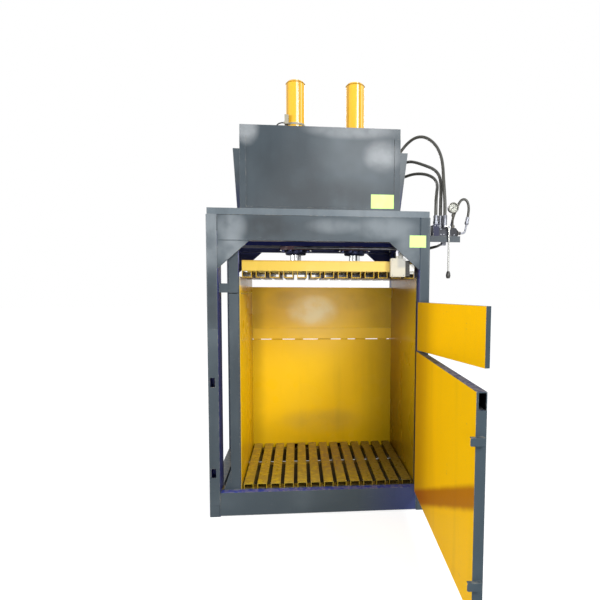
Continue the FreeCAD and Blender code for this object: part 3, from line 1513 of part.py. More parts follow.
HOSES = {
    "hose_cap_side": ("hose_diameter", [
        (833, 88, 1975), (833, 88, 2055), (828, 95, 2140), (831, 130, 2230), (843, 190, 2320),
        (851, 268, 2408), (845, 352, 2492), (822, 436, 2562), (783, 512, 2610), (736, 578, 2620),
        (688, 628, 2590), (643, 652, 2535), (605, 656, 2470), (605, 656, 2405),
    ]),
    "hose_pressure": ("hose_diameter", [
        (812, 120, 1975), (812, 120, 2045), (814, 124, 2115), (820, 146, 2184), (827, 200, 2245),
        (829, 278, 2298), (820, 362, 2342), (802, 448, 2378), (777, 523, 2410), (748, 592, 2440),
        (718, 650, 2460), (688, 703, 2464), (648, 742, 2454), (600, 760, 2440), (545, 760, 2440),
    ]),
    "hose_return": ("hose_diameter", [
        (775, 102, 1975), (775, 102, 2035), (781, 122, 2093), (797, 168, 2143), (818, 230, 2190),
        (831, 302, 2238), (829, 374, 2280), (812, 446, 2315), (785, 522, 2341), (752, 592, 2356),
        (722, 652, 2361), (690, 702, 2356), (650, 738, 2348), (602, 757, 2340), (550, 757, 2340),
    ]),
    "hose_rod_side": ("feed_diameter", [
        (835, 150, 1793), (835, 190, 1793), (838, 229, 1791), (835, 273, 1787), (818, 314, 1782),
        (786.5, 346.5, 1775), (745, 364, 1770), (700, 364, 1770),
    ]),
    "hose_gauge": ("loop_diameter", [
        (893, 122, 1925), (893, 122, 1962), (902, 122, 2008), (922, 121, 2055), (936, 120, 2076),
        (959, 117, 2086), (984, 114, 2080), (1001, 111, 2062), (1004, 109, 2037), (1001, 107, 2000),
        (995, 105, 1966),
    ]),
    "sensor_cable": ("cable_diameter", [
        (-240, 436, 2650), (-256, 436, 2650), (-277, 436, 2643), (-293, 436, 2626),
        (-301, 436, 2600), (-303, 437, 2555), (-297, 440, 2480), (-292, 444, 2370),
        (-300, 446, 2255), (-310, 442, 2145), (-305, 436, 2065), (-305, 436, 2001),
    ]),
}


def make_hoses():
    """Free hoses and the sensor's cable, each from one fitting to another."""
    for name, (diameter, route) in HOSES.items():
        node(tube_along(name, route, diameter), name)


# --------------------------------------------------------------------------- build and write

def check():
    """Stop if an object has failed or a sub-part has no valid shape."""
    for item in doc.Objects:
        if "Invalid" in item.State or "Error" in item.State:
            raise RuntimeError(f"{item.Name} failed: {item.State}")
    for item in NODES:
        if item.Shape.isNull() or not item.Shape.isValid():
            raise RuntimeError(f"{item.Label} has no valid shape")


def write():
    """Write each sub-part to parts/NAME.step."""
    os.makedirs("parts", exist_ok=True)
    for item in NODES:
        item.Shape.exportStep(f"parts/{item.Label}.step")
        box = item.Shape.BoundBox
        print(f"{item.Label}: {len(item.Shape.Solids)} solids, x {box.XMin:.0f}..{box.XMax:.0f}, "
              f"y {box.YMin:.0f}..{box.YMax:.0f}, z {box.ZMin:.0f}..{box.ZMax:.0f}")


def main():
    """Build every sub-part, check it and write it."""
    make_posts()
    make_base()
    make_top()
    make_column()
    make_side_walls()
    make_back_plates()
    make_platen()
    make_cylinders()
    make_lower_door()
    make_upper_door()
    make_front_guard()
    make_rear_guard()
    make_power_unit()
    make_valve_group()
    make_switch_group()
    make_pipes()
    make_hoses()
    doc.recompute()
    check()
    write()


main()
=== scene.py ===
"""Looks of an upright recycling baler with two hydraulic cylinders.

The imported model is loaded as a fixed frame. Its nodes get painted, machined and moulded
finishes, and pieces too fine for the solids are built around them: the hoses with their
crimped ends, weld beads, the gauge's dial, the switch box's screws and its bent sleeve,
and two blank stickers.
"""
import logging
import math
from dataclasses import dataclass, replace
from enum import Enum
from functools import lru_cache
from typing import Any, Callable, Iterable, Sequence

import bmesh
import bpy
from mathutils import Matrix, Vector


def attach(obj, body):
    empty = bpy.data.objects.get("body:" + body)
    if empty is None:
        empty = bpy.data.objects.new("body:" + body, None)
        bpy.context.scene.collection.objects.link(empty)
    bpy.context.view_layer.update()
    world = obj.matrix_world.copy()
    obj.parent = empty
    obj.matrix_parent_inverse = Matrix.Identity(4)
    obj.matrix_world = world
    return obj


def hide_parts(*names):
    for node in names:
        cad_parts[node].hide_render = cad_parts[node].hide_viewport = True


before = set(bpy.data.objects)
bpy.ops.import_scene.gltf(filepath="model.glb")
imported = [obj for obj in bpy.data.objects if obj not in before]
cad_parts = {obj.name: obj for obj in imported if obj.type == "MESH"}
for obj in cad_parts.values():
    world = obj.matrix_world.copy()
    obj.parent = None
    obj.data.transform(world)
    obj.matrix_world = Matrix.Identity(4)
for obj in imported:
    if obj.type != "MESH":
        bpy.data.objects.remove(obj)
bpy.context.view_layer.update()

Point = tuple[float, float, float]
Colour = str
Profile = Sequence[tuple[float, float]]
Ring = list[bmesh.types.BMVert]

LOG = logging.getLogger("baler")
MM = 0.001
EVERYWHERE = 9.0
SLAB_SOFT = 0.0004
FACING_EDGE = (0.55, 0.75)
WHITE = "ffffff"
UP: Point = (0.0, 0.0, 1.0)
DOWN: Point = (0.0, 0.0, -1.0)
RIGHT: Point = (1.0, 0.0, 0.0)
LEFT: Point = (-1.0, 0.0, 0.0)
FORWARD: Point = (0.0, -1.0, 0.0)
BACKWARD: Point = (0.0, 1.0, 0.0)


class Body(Enum):
    """The bodies that carry the pieces added here."""

    BASE = "base"
    LEVER = "lever"


def shade(code: Colour) -> Point:
    """Work out the light that a screen colour gives.

    Args:
        code: Its six hexadecimal digits.

    Returns:
        Red, green and blue from 0 to 1.
    """
    parts = [int(code[i:i + 2], 16) / 255 for i in (0, 2, 4)]
    red, green, blue = (p / 12.92 if p <= 0.04045 else ((p + 0.055) / 1.055) ** 2.4 for p in parts)
    return red, green, blue


def low_corner(x: float = -EVERYWHERE, y: float = -EVERYWHERE, z: float = -EVERYWHERE) -> Point:
    """A zone's lower corner, open on the axes that aren't given."""
    return x, y, z


def high_corner(x: float = EVERYWHERE, y: float = EVERYWHERE, z: float = EVERYWHERE) -> Point:
    """A zone's upper corner, open on the axes that aren't given."""
    return x, y, z


def placed(name: str, data: bpy.types.ID) -> bpy.types.Object:
    """Make an object of a mesh, curve, lamp or camera and put it in the scene.

    Args:
        name: The object's name.
        data: What it shows.

    Returns:
        The object.
    """
    made = bpy.data.objects.new(name, data)
    bpy.context.scene.collection.objects.link(made)
    return made


# ------------------------------------------------------------------ shader graph


@dataclass(frozen=True)
class Pattern:
    """Soft noise: waves per metre, how many finer layers, factors on the axes, and its draw."""

    scale: float
    detail: float = 2.0
    stretch: Point | None = None
    seed: float = 0.0


class Value:
    """A number that varies over a surface: a socket that takes part in expressions."""

    def __init__(self, graph: "Graph", socket: bpy.types.NodeSocket) -> None:
        """Wrap one socket of a graph."""
        self.graph = graph
        self.socket = socket

    def _math(self, operation: str, *terms: "Value | float", clamp: bool = False) -> "Value":
        """Add one Math node.

        Args:
            operation: What it works out.
            terms: What it works on.
            clamp: Whether the result is held between 0 and 1.

        Returns:
            The result.
        """
        settings = {"operation": operation, "use_clamp": clamp}
        made = self.graph.node("ShaderNodeMath", settings, dict(enumerate(terms)))
        return Value(self.graph, made.outputs[0])

    def __add__(self, other: "Value | float") -> "Value":
        """The sum."""
        return self._math("ADD", self, other)

    __radd__ = __add__

    def __sub__(self, other: "Value | float") -> "Value":
        """The difference."""
        return self._math("SUBTRACT", self, other)

    def __rsub__(self, other: "Value | float") -> "Value":
        """The difference with this value taken away."""
        return self._math("SUBTRACT", other, self)

    def __mul__(self, other: "Value | float") -> "Value":
        """The product."""
        return self._math("MULTIPLY", self, other)

    __rmul__ = __mul__

    def __truediv__(self, other: "Value | float") -> "Value":
        """The quotient."""
        return self._math("DIVIDE", self, other)

    def clamped(self) -> "Value":
        """The value held between 0 and 1."""
        return self._math("ADD", self, 0.0, clamp=True)

    def larger(self, other: "Value | float") -> "Value":
        """The larger of two values."""
        return self._math("MAXIMUM", self, other)

    def smooth(self, low: float, high: float) -> "Value":
        """A soft step.

        Args:
            low: Where it is 0.
            high: Where it is 1, which may be the smaller.

        Returns:
            The step.
        """
        made = self.graph.node(
            "ShaderNodeMapRange",
            {"interpolation_type": "SMOOTHSTEP", "clamp": True},
            {0: self, 1: low, 2: high, 3: 0.0, 4: 1.0},
        )
        return Value(self.graph, made.outputs[0])


class Graph:
    """A node tree that is filled with expressions."""

    def __init__(self, tree: bpy.types.NodeTree) -> None:
        """Start with an empty tree."""
        self.tree = tree
        self.tree.nodes.clear()

    def node(
        self,
        kind: str,
        settings: dict[str, Any] | None = None,
        inputs: dict[int | str, Any] | None = None,
    ) -> bpy.types.Node:
        """Make any node.

        Args:
            kind: The node's type.
            settings: Its properties, set first.
            inputs: Numbers, colours or links of its sockets, by place or name.

        Returns:
            The node.
        """
        made = self.tree.nodes.new(kind)
        for name, value in (settings or {}).items():
            setattr(made, name, value)
        for key, value in (inputs or {}).items():
            self.feed(made.inputs[key], value)
        return made

    def feed(self, socket: bpy.types.NodeSocket, value: Any) -> None:
        """Link a value to a socket, or set the number or colour it holds.

        Args:
            socket: The socket.
            value: A value, a link, a number, or a colour's code or light.
        """
        if isinstance(value, Value):
            value = value.socket
        if isinstance(value, bpy.types.NodeSocket):
            self.tree.links.new(value, socket)
        elif socket.type == "RGBA":
            socket.default_value = (*(shade(value) if isinstance(value, str) else value), 1.0)
        else:
            socket.default_value = value

    def split(self, vector: bpy.types.NodeSocket) -> tuple[Value, Value, Value]:
        """The three numbers of a vector."""
        x, y, z = self.node("ShaderNodeSeparateXYZ", inputs={0: vector}).outputs
        return Value(self, x), Value(self, y), Value(self, z)

    def vector(self, operation: str, first: Any, second: Any) -> bpy.types.Node:
        """A Vector Math node of two vectors."""
        return self.node("ShaderNodeVectorMath", {"operation": operation}, {0: first, 1: second})

    def seen(self) -> Value:
        """Which rays see the white studio.

        Returns:
            1 for those from the camera, through glass or off a gloss, and 0 for others.
        """
        path = self.node("ShaderNodeLightPath").outputs
        glass, gloss, camera = (
            Value(self, path[f"Is {kind} Ray"]) for kind in ("Transmission", "Glossy", "Camera")
        )
        return glass.larger(gloss).larger(camera)

    def mix(self, first: Any, second: Any, share: Value | float) -> bpy.types.NodeSocket:
        """A colour between two others.

        Args:
            first: The colour at share 0, or its link.
            second: The colour at share 1, or its link.
            share: How much of the second there is.

        Returns:
            The colour's link.
        """
        settings = {"data_type": "RGBA", "clamp_factor": True}
        made = self.node("ShaderNodeMix", settings, {0: share, 6: first, 7: second})
        return made.outputs[2]


class Surface(Graph):
    """The node tree of one material, with the surface's place and facing at hand."""

    def __init__(self, name: str) -> None:
        """Start an empty material.

        Args:
            name: The material's name.
        """
        self.material = bpy.data.materials.new(name)
        self.material.use_nodes = True
        super().__init__(self.material.node_tree)
        place = self.node("ShaderNodeTexCoord")
        self.place = place.outputs["Object"]
        self.facing = place.outputs["Normal"]
        self.x, self.y, self.z = self.split(self.place)

    def turned_to(self, direction: Point) -> Value:
        """How far the surface faces a direction, from -1 to 1."""
        return Value(self, self.vector("DOT_PRODUCT", self.facing, direction).outputs["Value"])

    def along(self, direction: Point) -> Value:
        """How far the surface lies along a direction, in metres from the origin."""
        return Value(self, self.vector("DOT_PRODUCT", self.place, direction).outputs["Value"])

    def away_from(self, centre: Point) -> Value:
        """The distance from a point, in metres."""
        return Value(self, self.vector("DISTANCE", self.place, centre).outputs["Value"])

    def noise(self, pattern: Pattern) -> Value:
        """Soft noise around 0.5.

        Args:
            pattern: Its scale, layers, stretch and draw.

        Returns:
            The noise.
        """
        place = self.place
        if pattern.stretch is not None:
            place = self.vector("MULTIPLY", place, pattern.stretch).outputs[0]
        inputs = {
            "Vector": place, "W": pattern.seed, "Scale": pattern.scale, "Detail": pattern.detail,
        }
        made = self.node("ShaderNodeTexNoise", {"noise_dimensions": "4D"}, inputs)
        return Value(self, made.outputs[0])

    def edges(self, radius: float) -> Value:
        """Where the surface turns sharply.

        Args:
            radius: How far from an edge it still counts, in metres.

        Returns:
            0 on a flat and 1 on an edge.
        """
        made = self.node("ShaderNodeBevel", {"samples": 4}, {"Radius": radius})
        geometry = self.node("ShaderNodeNewGeometry")
        across = self.vector("DOT_PRODUCT", made.outputs[0], geometry.outputs["Normal"])
        return (1.0 - Value(self, across.outputs["Value"])).smooth(0.01, 0.16)

    def bump(self, height: Value, strength: float, distance: float) -> bpy.types.NodeSocket:
        """A bumped normal."""
        inputs = {"Strength": strength, "Distance": distance, "Height": height}
        return self.node("ShaderNodeBump", inputs=inputs).outputs[0]

    def close(self, **sockets: Any) -> bpy.types.Material:
        """Finish the material with a Principled shader.

        Args:
            sockets: Values by socket name, with _ for a space.

        Returns:
            The material.
        """
        inputs = {name.replace("_", " "): value for name, value in sockets.items()}
        shader = self.node("ShaderNodeBsdfPrincipled", inputs=inputs)
        self.node("ShaderNodeOutputMaterial", inputs={"Surface": shader.outputs[0]})
        return self.material


# ------------------------------------------------------------------ finishes

TORN_BORDER = Pattern(9.0, 4.0, seed=3.0)
WORN_THROUGH = Pattern(26.0, 4.0, seed=8.0)
CLOUD_BORDER = Pattern(7.0, 3.0, seed=12.0)
MOTTLE = Pattern(1.9, 3.0)
STREAKS = Pattern(9.0, 3.0, (1.0, 1.0, 0.12), 2.0)
PAINT_GRAIN = Pattern(240.0, 2.0, seed=5.0)
SPECKS = Pattern(46.0, 4.0, seed=7.0)
SCUFFS = Pattern(15.0, 5.0, (1.0, 1.0, 5.0), 11.0)
SHEET_WAVES = Pattern(2.6, 1.0, seed=4.0)
PAINT_SKIN = Pattern(420.0, 1.0, seed=6.0)
TARNISH = Pattern(22.0, 4.0)
TOOL_MARKS = Pattern(160.0, 3.0, seed=3.0)
STAINS = Pattern(90.0, 4.0, seed=9.0)
HANDLING = Pattern(14.0, 4.0)
MOULD_SKIN = Pattern(900.0, 2.0, seed=2.0)
ENAMEL_AGE = Pattern(120.0, 2.0)
GLASS_FILM = Pattern(180.0, 4.0)


@dataclass(frozen=True)
class Zone:
    """A region of a finish that has another colour, with soft or ragged borders.

    low and high are corners in metres, facing limits it to faces turned that way, slab keeps it
    between two levels along a direction, slope tilts its z limits along y, and ragged moves its
    borders in and out.
    """

    colour: Colour
    low: Point = low_corner()
    high: Point = high_corner()
    facing: Point | None = None
    strength: float = 1.0
    slab: tuple[Point, float, float] | None = None
    soft: float = 0.002
    ragged: float = 0.0
    slope: float = 0.0
    broken: float = 0.0

    def mask(self, graph: Surface) -> Value | float:
        """Where the zone is.

        Args:
            graph: The finish's node tree.

        Returns:
            0 outside it and its strength inside.
        """
        share: Value | float = self.strength
        shift = (graph.noise(TORN_BORDER) - 0.5) * (2.0 * self.ragged) if self.ragged else 0.0
        tilted = graph.z - graph.y * self.slope if self.slope else graph.z
        for place, low, high in zip((graph.x, graph.y, tilted), self.low, self.high):
            if low > -EVERYWHERE:
                share = (place + shift).smooth(low - self.soft, low + self.soft) * share
            if high < EVERYWHERE:
                share = (place + shift).smooth(high + self.soft, high - self.soft) * share
        if self.facing is not None:
            share = graph.turned_to(self.facing).smooth(*FACING_EDGE) * share
        if self.slab is not None:
            direction, low, high = self.slab
            level = graph.along(direction)
            share = level.smooth(low - SLAB_SOFT, low + SLAB_SOFT) * share
            share = level.smooth(high + SLAB_SOFT, high - SLAB_SOFT) * share
        if self.broken:
            gaps = graph.noise(WORN_THROUGH)
            share = gaps.smooth(self.broken - 0.1, self.broken + 0.1) * share
        return share


@dataclass(frozen=True)
class Cloud:
    """A soft round patch of painted light or shade: its colour, centre, radii and how far it
    reaches.
    """

    colour: Colour
    centre: Point
    radii: Point
    strength: float = 0.5
    facing: Point | None = None

    def mask(self, graph: Surface) -> Value | float:
        """Where the patch is.

        Args:
            graph: The finish's node tree.

        Returns:
            0 outside it and up to its strength inside.
        """
        total: Value | float = 0.0
        for place, middle, radius in zip((graph.x, graph.y, graph.z), self.centre, self.radii):
            off = (place - middle) / radius
            total = off * off + total
        share = total.smooth(1.0, 0.0) * self.strength
        ragged = graph.noise(CLOUD_BORDER).smooth(0.3, 0.6)
        share = share * (ragged * 0.6 + 0.4)
        if self.facing is not None:
            share = graph.turned_to(self.facing).smooth(*FACING_EDGE) * share
        return share


@dataclass(frozen=True)
class Finish:
    """What every finish has: a name and a way to make its material."""

    name: str

    def material(self) -> bpy.types.Material:
        """The Blender material, made once for each different finish."""
        return made_material(self)

    def build(self) -> bpy.types.Material:
        """Build the nodes of the finish."""
        raise NotImplementedError


@lru_cache(maxsize=None)
def made_material(finish: Finish) -> bpy.types.Material:
    """Build each finish once."""
    return finish.build()


@dataclass(frozen=True)
class ShopPaint(Finish):
    """Sprayed paint on steel: mottled, chalked, streaked, chipped at its edges and dusty on top."""

    colour: Colour = "39434a"
    chalk: Colour = "5b656b"
    grime: Colour = "22282d"
    steel: Colour = "9a958b"
    dust: Colour = "a09a8c"
    mottle: float = 0.45
    streaks: float = 0.30
    wear: float = 0.55
    dusting: float = 0.35
    roughness: float = 0.40
    waves: float = 0.25
    coat: float = 0.08
    specular: float = 0.22
    index: float = 1.5
    scuffs: float = 0.25
    zones: tuple["Zone | Cloud", ...] = ()

    def build(self) -> bpy.types.Material:
        """Make the material's nodes.

        Returns:
            The material.
        """
        graph = Surface(self.name)
        broad = graph.noise(MOTTLE)
        streak = graph.noise(STREAKS)
        grain = graph.noise(PAINT_GRAIN)
        speck = graph.noise(SPECKS)
        colour: Any = graph.mix(self.colour, self.chalk, broad.smooth(0.46, 0.72) * self.mottle)
        for zone in self.zones:
            colour = graph.mix(colour, zone.colour, zone.mask(graph))
        colour = graph.mix(colour, self.grime, streak.smooth(0.52, 0.78) * self.streaks)
        colour = graph.mix(
            colour, self.grime, (1.0 - broad).smooth(0.5, 0.8) * (0.6 * self.streaks),
        )
        colour = graph.mix(colour, self.chalk, grain.smooth(0.45, 0.75) * 0.10)
        scuff = graph.noise(SCUFFS)
        marks = scuff.smooth(0.66, 0.70) * speck.smooth(0.42, 0.6)
        colour = graph.mix(colour, self.chalk, marks * self.scuffs)
        lifted = graph.turned_to(UP).smooth(0.6, 0.9)
        settled = lifted * speck.smooth(0.35, 0.65) * self.dusting
        colour = graph.mix(colour, self.dust, settled)
        chipped = (graph.edges(0.0045) * speck.smooth(0.50, 0.58) * self.wear).clamped()
        colour = graph.mix(colour, self.steel, chipped)
        roughness = (broad - 0.5) * 0.18 + self.roughness + settled * 0.3 + chipped * 0.1
        sheet = graph.noise(SHEET_WAVES)
        skin = graph.noise(PAINT_SKIN)
        normal = graph.bump(sheet * self.waves + skin * 0.010 - chipped * 0.02, 0.6, 0.02)
        return graph.close(
            Base_Color=colour, Roughness=roughness, Metallic=chipped * 0.6, Normal=normal,
            Coat_Weight=self.coat, Coat_Roughness=0.2, Specular_IOR_Level=self.specular,
            IOR=self.index,
        )


@dataclass(frozen=True)
class Metal(Finish):
    """Bare, plated or machined metal with tarnish, fine tool marks and a stained film."""

    colour: Colour = "c2c1bd"
    tarnish: Colour = "6f6a60"
    roughness: float = 0.30
    tarnished: float = 0.45
    grain: Point = (1.0, 1.0, 1.0)
    marks: float = 0.3

    def build(self) -> bpy.types.Material:
        """Make the material's nodes.

        Returns:
            The material.
        """
        graph = Surface(self.name)
        cloud = graph.noise(TARNISH)
        lines = graph.noise(replace(TOOL_MARKS, stretch=self.grain))
        spots = graph.noise(STAINS).smooth(0.60, 0.72)
        film = (
            cloud.smooth(0.45, 0.75) * self.tarnished + spots * (0.5 * self.tarnished)
        ).clamped()
        colour = graph.mix(self.colour, self.tarnish, film)
        colour = graph.mix(colour, self.tarnish, lines.smooth(0.5, 0.8) * (0.5 * self.marks))
        roughness = film * 0.3 + lines * 0.12 + self.roughness
        normal = graph.bump(lines * self.marks, 0.35, 0.0004)
        return graph.close(
            Base_Color=colour, Roughness=roughness, Metallic=1.0 - film * 0.35, Normal=normal,
        )


@dataclass(frozen=True)
class Moulding(Finish):
    """Moulded plastic, rubber or lacquer with a fine skin, dust and rubbed edges."""

    colour: Colour = "20201f"
    worn: Colour = "4a4843"
    roughness: float = 0.5
    dusting: float = 0.25
    grain: float = MOULD_SKIN.scale
    relief: float = 0.4
    zones: tuple[Zone, ...] = ()

    def build(self) -> bpy.types.Material:
        """Make the material's nodes.

        Returns:
            The material.
        """
        graph = Surface(self.name)
        cloud = graph.noise(HANDLING)
        skin = graph.noise(replace(MOULD_SKIN, scale=self.grain))
        colour: Any = self.colour
        for zone in self.zones:
            colour = graph.mix(colour, zone.colour, zone.mask(graph))
        colour = graph.mix(colour, self.worn, cloud.smooth(0.45, 0.8) * (0.8 * self.dusting))
        colour = graph.mix(colour, self.worn, skin.smooth(0.5, 0.8) * (0.5 * self.dusting))
        colour = graph.mix(colour, self.worn, graph.edges(0.0015) * (0.7 * self.dusting))
        roughness = cloud * 0.18 + self.roughness - 0.09
        normal = graph.bump(skin, self.relief, 0.0004)
        return graph.close(Base_Color=colour, Roughness=roughness, Normal=normal)


@dataclass(frozen=True)
class DialFace(Finish):
    """Printed dial: pale enamel with a scale of ticks round three quarters of a turn."""

    centre: Point = (0.890, -0.459, 2.026)
    enamel: Colour = "b4b3a8"
    darker_enamel: Colour = "8f8d80"
    ink: Colour = "3a3a38"
    ring: float = 0.0200
    line: float = 0.0004

    def build(self) -> bpy.types.Material:
        """Make the material's nodes.

        Returns:
            The material.
        """
        graph = Surface(self.name)
        distance = graph.away_from(self.centre)
        cloud = graph.noise(ENAMEL_AGE)
        colour = graph.mix(self.enamel, self.darker_enamel, cloud.smooth(0.4, 0.8) * 0.5)
        # Darker towards the rim.
        colour = graph.mix(colour, self.darker_enamel, distance.smooth(0.022, 0.030))
        inner = distance.smooth(self.ring - self.line, self.ring)
        outer = distance.smooth(self.ring + 2 * self.line, self.ring + self.line)
        colour = graph.mix(colour, self.ink, inner * outer * 0.8)
        return graph.close(Base_Color=colour, Roughness=cloud * 0.1 + 0.35, Coat_Weight=0.2)


@dataclass(frozen=True)
class ClearGlass(Finish):
    """Clear flat glass with a faint film of dust."""

    def build(self) -> bpy.types.Material:
        """Make the material's nodes.

        Returns:
            The material.
        """
        graph = Surface(self.name)
        film = graph.noise(GLASS_FILM).smooth(0.5, 0.8)
        return graph.close(
            Base_Color=graph.mix("f4f8f7", "d9dcd4", film * 0.5),
            Roughness=film * 0.12 + 0.03, Transmission_Weight=0.92, IOR=1.46,
            Alpha=film * 0.1 + 0.30,
        )


SLATE = ShopPaint("slate_paint")
MATT_SLATE = replace(
    SLATE, coat=0.0, specular=0.06, index=1.3, roughness=0.5, streaks=0.08, waves=0.1,
)
# Painted highlight and painted shade colours for the slate paint.
SLATE_HIGHLIGHT = "8f969b"
SLATE_SHADE = "1f2529"
# Painted shade in navy and blue, for recesses, undersides, inner faces and parts under the deck.
NAVY_SHADE = "1d2470"
DEEP_NAVY_SHADE = "14183c"
BRIGHT_BLUE_SHADE = "26369c"
BARE = "b5ad9c"

YELLOW = ShopPaint(
    "chamber_yellow",
    colour="f2c400",
    chalk="e6c02a",
    grime="7d6606",
    steel="8d8676",
    dust="a78a45",
    mottle=0.35,
    streaks=0.14,
    wear=0.45,
    roughness=0.27,
    waves=0.20,
    coat=0.03,
    specular=0.22,
    index=1.36,
)
ZINC = Metal("zinc_plate", "86888f", "3c3d48", 0.34, 0.6)


def face_zone(
    colour: Colour, direction: Point, strength: float = 1.0, low: Point = Zone.low,
    high: Point = Zone.high, **limits: Any,
) -> Zone:
    """A zone for all faces turned one way."""
    return Zone(colour, low, high, direction, strength, **limits)


# ------------------------------------------------------------------ meshes


class Shape:
    """A mesh put together from turned, swept and boxed forms, in the shared frame."""

    def __init__(self) -> None:
        """Start an empty mesh."""
        self.mesh = bmesh.new()

    def ring(self, places: Iterable[Vector]) -> Ring:
        """A ring of new points."""
        return [self.mesh.verts.new(place) for place in places]

    def bridge(self, first: Ring, second: Ring) -> None:
        """Join two rings of as many points with faces."""
        for i, (a, b) in enumerate(zip(first, second)):
            self.mesh.faces.new((a, first[i + 1 - len(first)], second[i + 1 - len(second)], b))

    def cap(self, rings: Sequence[Ring]) -> "Shape":
        """Close both ends of a row of rings."""
        self.mesh.faces.new(list(reversed(rings[0])))
        self.mesh.faces.new(rings[-1])
        return self

    def rings_about(self, base: Point, axis: Point, profile: Profile, sides: int) -> list[Ring]:
        """Make one ring of points for each pair of a profile.

        Args:
            base: The axis's start.
            axis: Its direction.
            profile: (radius, height) pairs.
            sides: Points round the axis.

        Returns:
            The rings.
        """
        turn = Vector(axis).to_track_quat("Z", "Y").to_matrix()
        angles = [2 * math.pi * i / sides for i in range(sides)]
        return [
            self.ring(
                Vector(base) + turn @ Vector((radius * math.cos(a), radius * math.sin(a), height))
                for a in angles
            )
            for radius, height in profile
        ]

    def turned(self, base: Point, axis: Point, profile: Profile, sides: int = 32) -> "Shape":
        """Turn a closed-ended profile about an axis.

        Args:
            base: The axis's start.
            axis: Its direction.
            profile: (radius, height) pairs from one end to the other, each radius above 0.
            sides: Points round the axis.

        Returns:
            This shape.
        """
        rings = self.rings_about(base, axis, profile, sides)
        for first, second in zip(rings, rings[1:]):
            self.bridge(first, second)
        return self.cap(rings)

    def washer(self, base: Point, axis: Point, profile: Profile, sides: int = 48) -> "Shape":
        """Turn a closed section about an axis, as for a ring.

        Args:
            base: The axis's start.
            axis: Its direction.
            profile: (radius, height) pairs round the section.
            sides: Points round the axis.

        Returns:
            This shape.
        """
        rings = self.rings_about(base, axis, profile, sides)
        for first, second in zip(rings, rings[1:] + rings[:1]):
            self.bridge(first, second)
        return self

    def swept(
        self, path: Sequence[Vector], radius: Callable[[int], float], sides: int = 10,
        closed: bool = False,
    ) -> "Shape":
        """Sweep a round section along a path.

        Args:
            path: The points it follows.
            radius: The section's radius at each point's number.
            sides: Points round the section.
            closed: Whether the path comes back to its start.

        Returns:
            This shape.
        """
        count = len(path)
        rings = []
        side = None
        for i, place in enumerate(path):
            before = path[i - 1] if i or closed else path[i]
            after = path[(i + 1) % count] if i < count - 1 or closed else path[i]
            along = (after - before).normalized()
            if side is None:
                side = along.orthogonal()
            side = (side - along * side.dot(along)).normalized()
            other = along.cross(side)
            angles = [2 * math.pi * k / sides for k in range(sides)]
            rings.append(self.ring(
                place + (side * math.cos(a) + other * math.sin(a)) * radius(i) for a in angles
            ))
        for first, second in zip(rings, rings[1:]):
            self.bridge(first, second)
        if not closed:
            return self.cap(rings)
        self.bridge(rings[-1], rings[0])
        return self

    def block(self, low: Point, high: Point, round_off: float = 0.0, segments: int = 2) -> "Shape":
        """A box between two corners.

        Args:
            low: Its lower corner.
            high: Its upper corner.
            round_off: The radius on its edges.
            segments: Faces across each rounded edge.

        Returns:
            This shape.
        """
        made = bmesh.ops.create_cube(self.mesh, size=1.0)["verts"]
        size = Vector(high) - Vector(low)
        middle = (Vector(high) + Vector(low)) / 2
        for vertex in made:
            vertex.co = Vector(c * s for c, s in zip(vertex.co, size)) + middle
        if round_off:
            edges = dict.fromkeys(edge for vertex in made for edge in vertex.link_edges)
            bmesh.ops.bevel(
                self.mesh, geom=list(edges), offset=round_off, segments=segments, affect="EDGES",
                profile=0.5,
            )
        return self

    def screw(self, base: Point, axis: Point, radius: float) -> "Shape":
        """A low domed screw head with a socket.

        Args:
            base: The middle of its seat.
            axis: The way it looks.
            radius: The head's radius.

        Returns:
            This shape.
        """
        profile = (
            (radius, 0.0), (radius, 0.25 * radius), (0.9 * radius, 0.45 * radius),
            (0.62 * radius, 0.6 * radius), (0.42 * radius, 0.62 * radius),
            (0.36 * radius, 0.3 * radius), (0.02 * radius, 0.3 * radius),
        )
        return self.turned(base, axis, profile, sides=20)

    def bead(
        self, start: Point, end: Point, radius: float = 0.0042, step: float = 0.0026,
    ) -> "Shape":
        """A straight weld bead with its ripples.

        Args:
            start: One end.
            end: The other end.
            radius: The bead's radius.
            step: The distance between two rings.

        Returns:
            This shape.
        """
        first, last = Vector(start), Vector(end)
        count = max(4, round((last - first).length / step))
        path = [first.lerp(last, i / count) for i in range(count + 1)]
        return self.swept(path, ripple(radius, count), sides=8)

    def ring_bead(
        self, centre: Point, axis: Point, ring: float, radius: float = 0.0035, step: float = 0.0030
    ) -> "Shape":
        """A weld bead round a tube.

        Args:
            centre: The ring's middle.
            axis: The tube's direction.
            ring: The tube's radius.
            radius: The bead's radius.
            step: The distance between two points.

        Returns:
            This shape.
        """
        turn = Vector(axis).to_track_quat("Z", "Y").to_matrix()
        count = round(2 * math.pi * ring / step)
        angles = [2 * math.pi * i / count for i in range(count)]
        path = [
            Vector(centre) + turn @ Vector((ring * math.cos(a), ring * math.sin(a), 0))
            for a in angles
        ]
        return self.swept(path, ripple(radius, count, ends=False), sides=8, closed=True)

    def finish(
        self, name: str, finish: Finish, slot: str | None = None, body: Body = Body.BASE,
        sharp: float = 35.0,
    ) -> bpy.types.Object:
        """Turn the mesh into a piece.

        Args:
            name: The piece's name.
            finish: What covers it.
            slot: Not used.
            body: What it moves with.
            sharp: The angle in degrees above which an edge stays sharp.

        Returns:
            The piece.
        """
        bmesh.ops.recalc_face_normals(self.mesh, faces=self.mesh.faces)
        data = bpy.data.meshes.new(name)
        self.mesh.to_mesh(data)
        self.mesh.free()
        data.shade_smooth()
        data.set_sharp_from_angle(angle=math.radians(sharp))
        piece = placed(name, data)
        data.materials.append(finish.material())
        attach(piece, body.value)
        LOG.info("%s: %d faces on %s", name, len(data.polygons), body.value)
        return piece


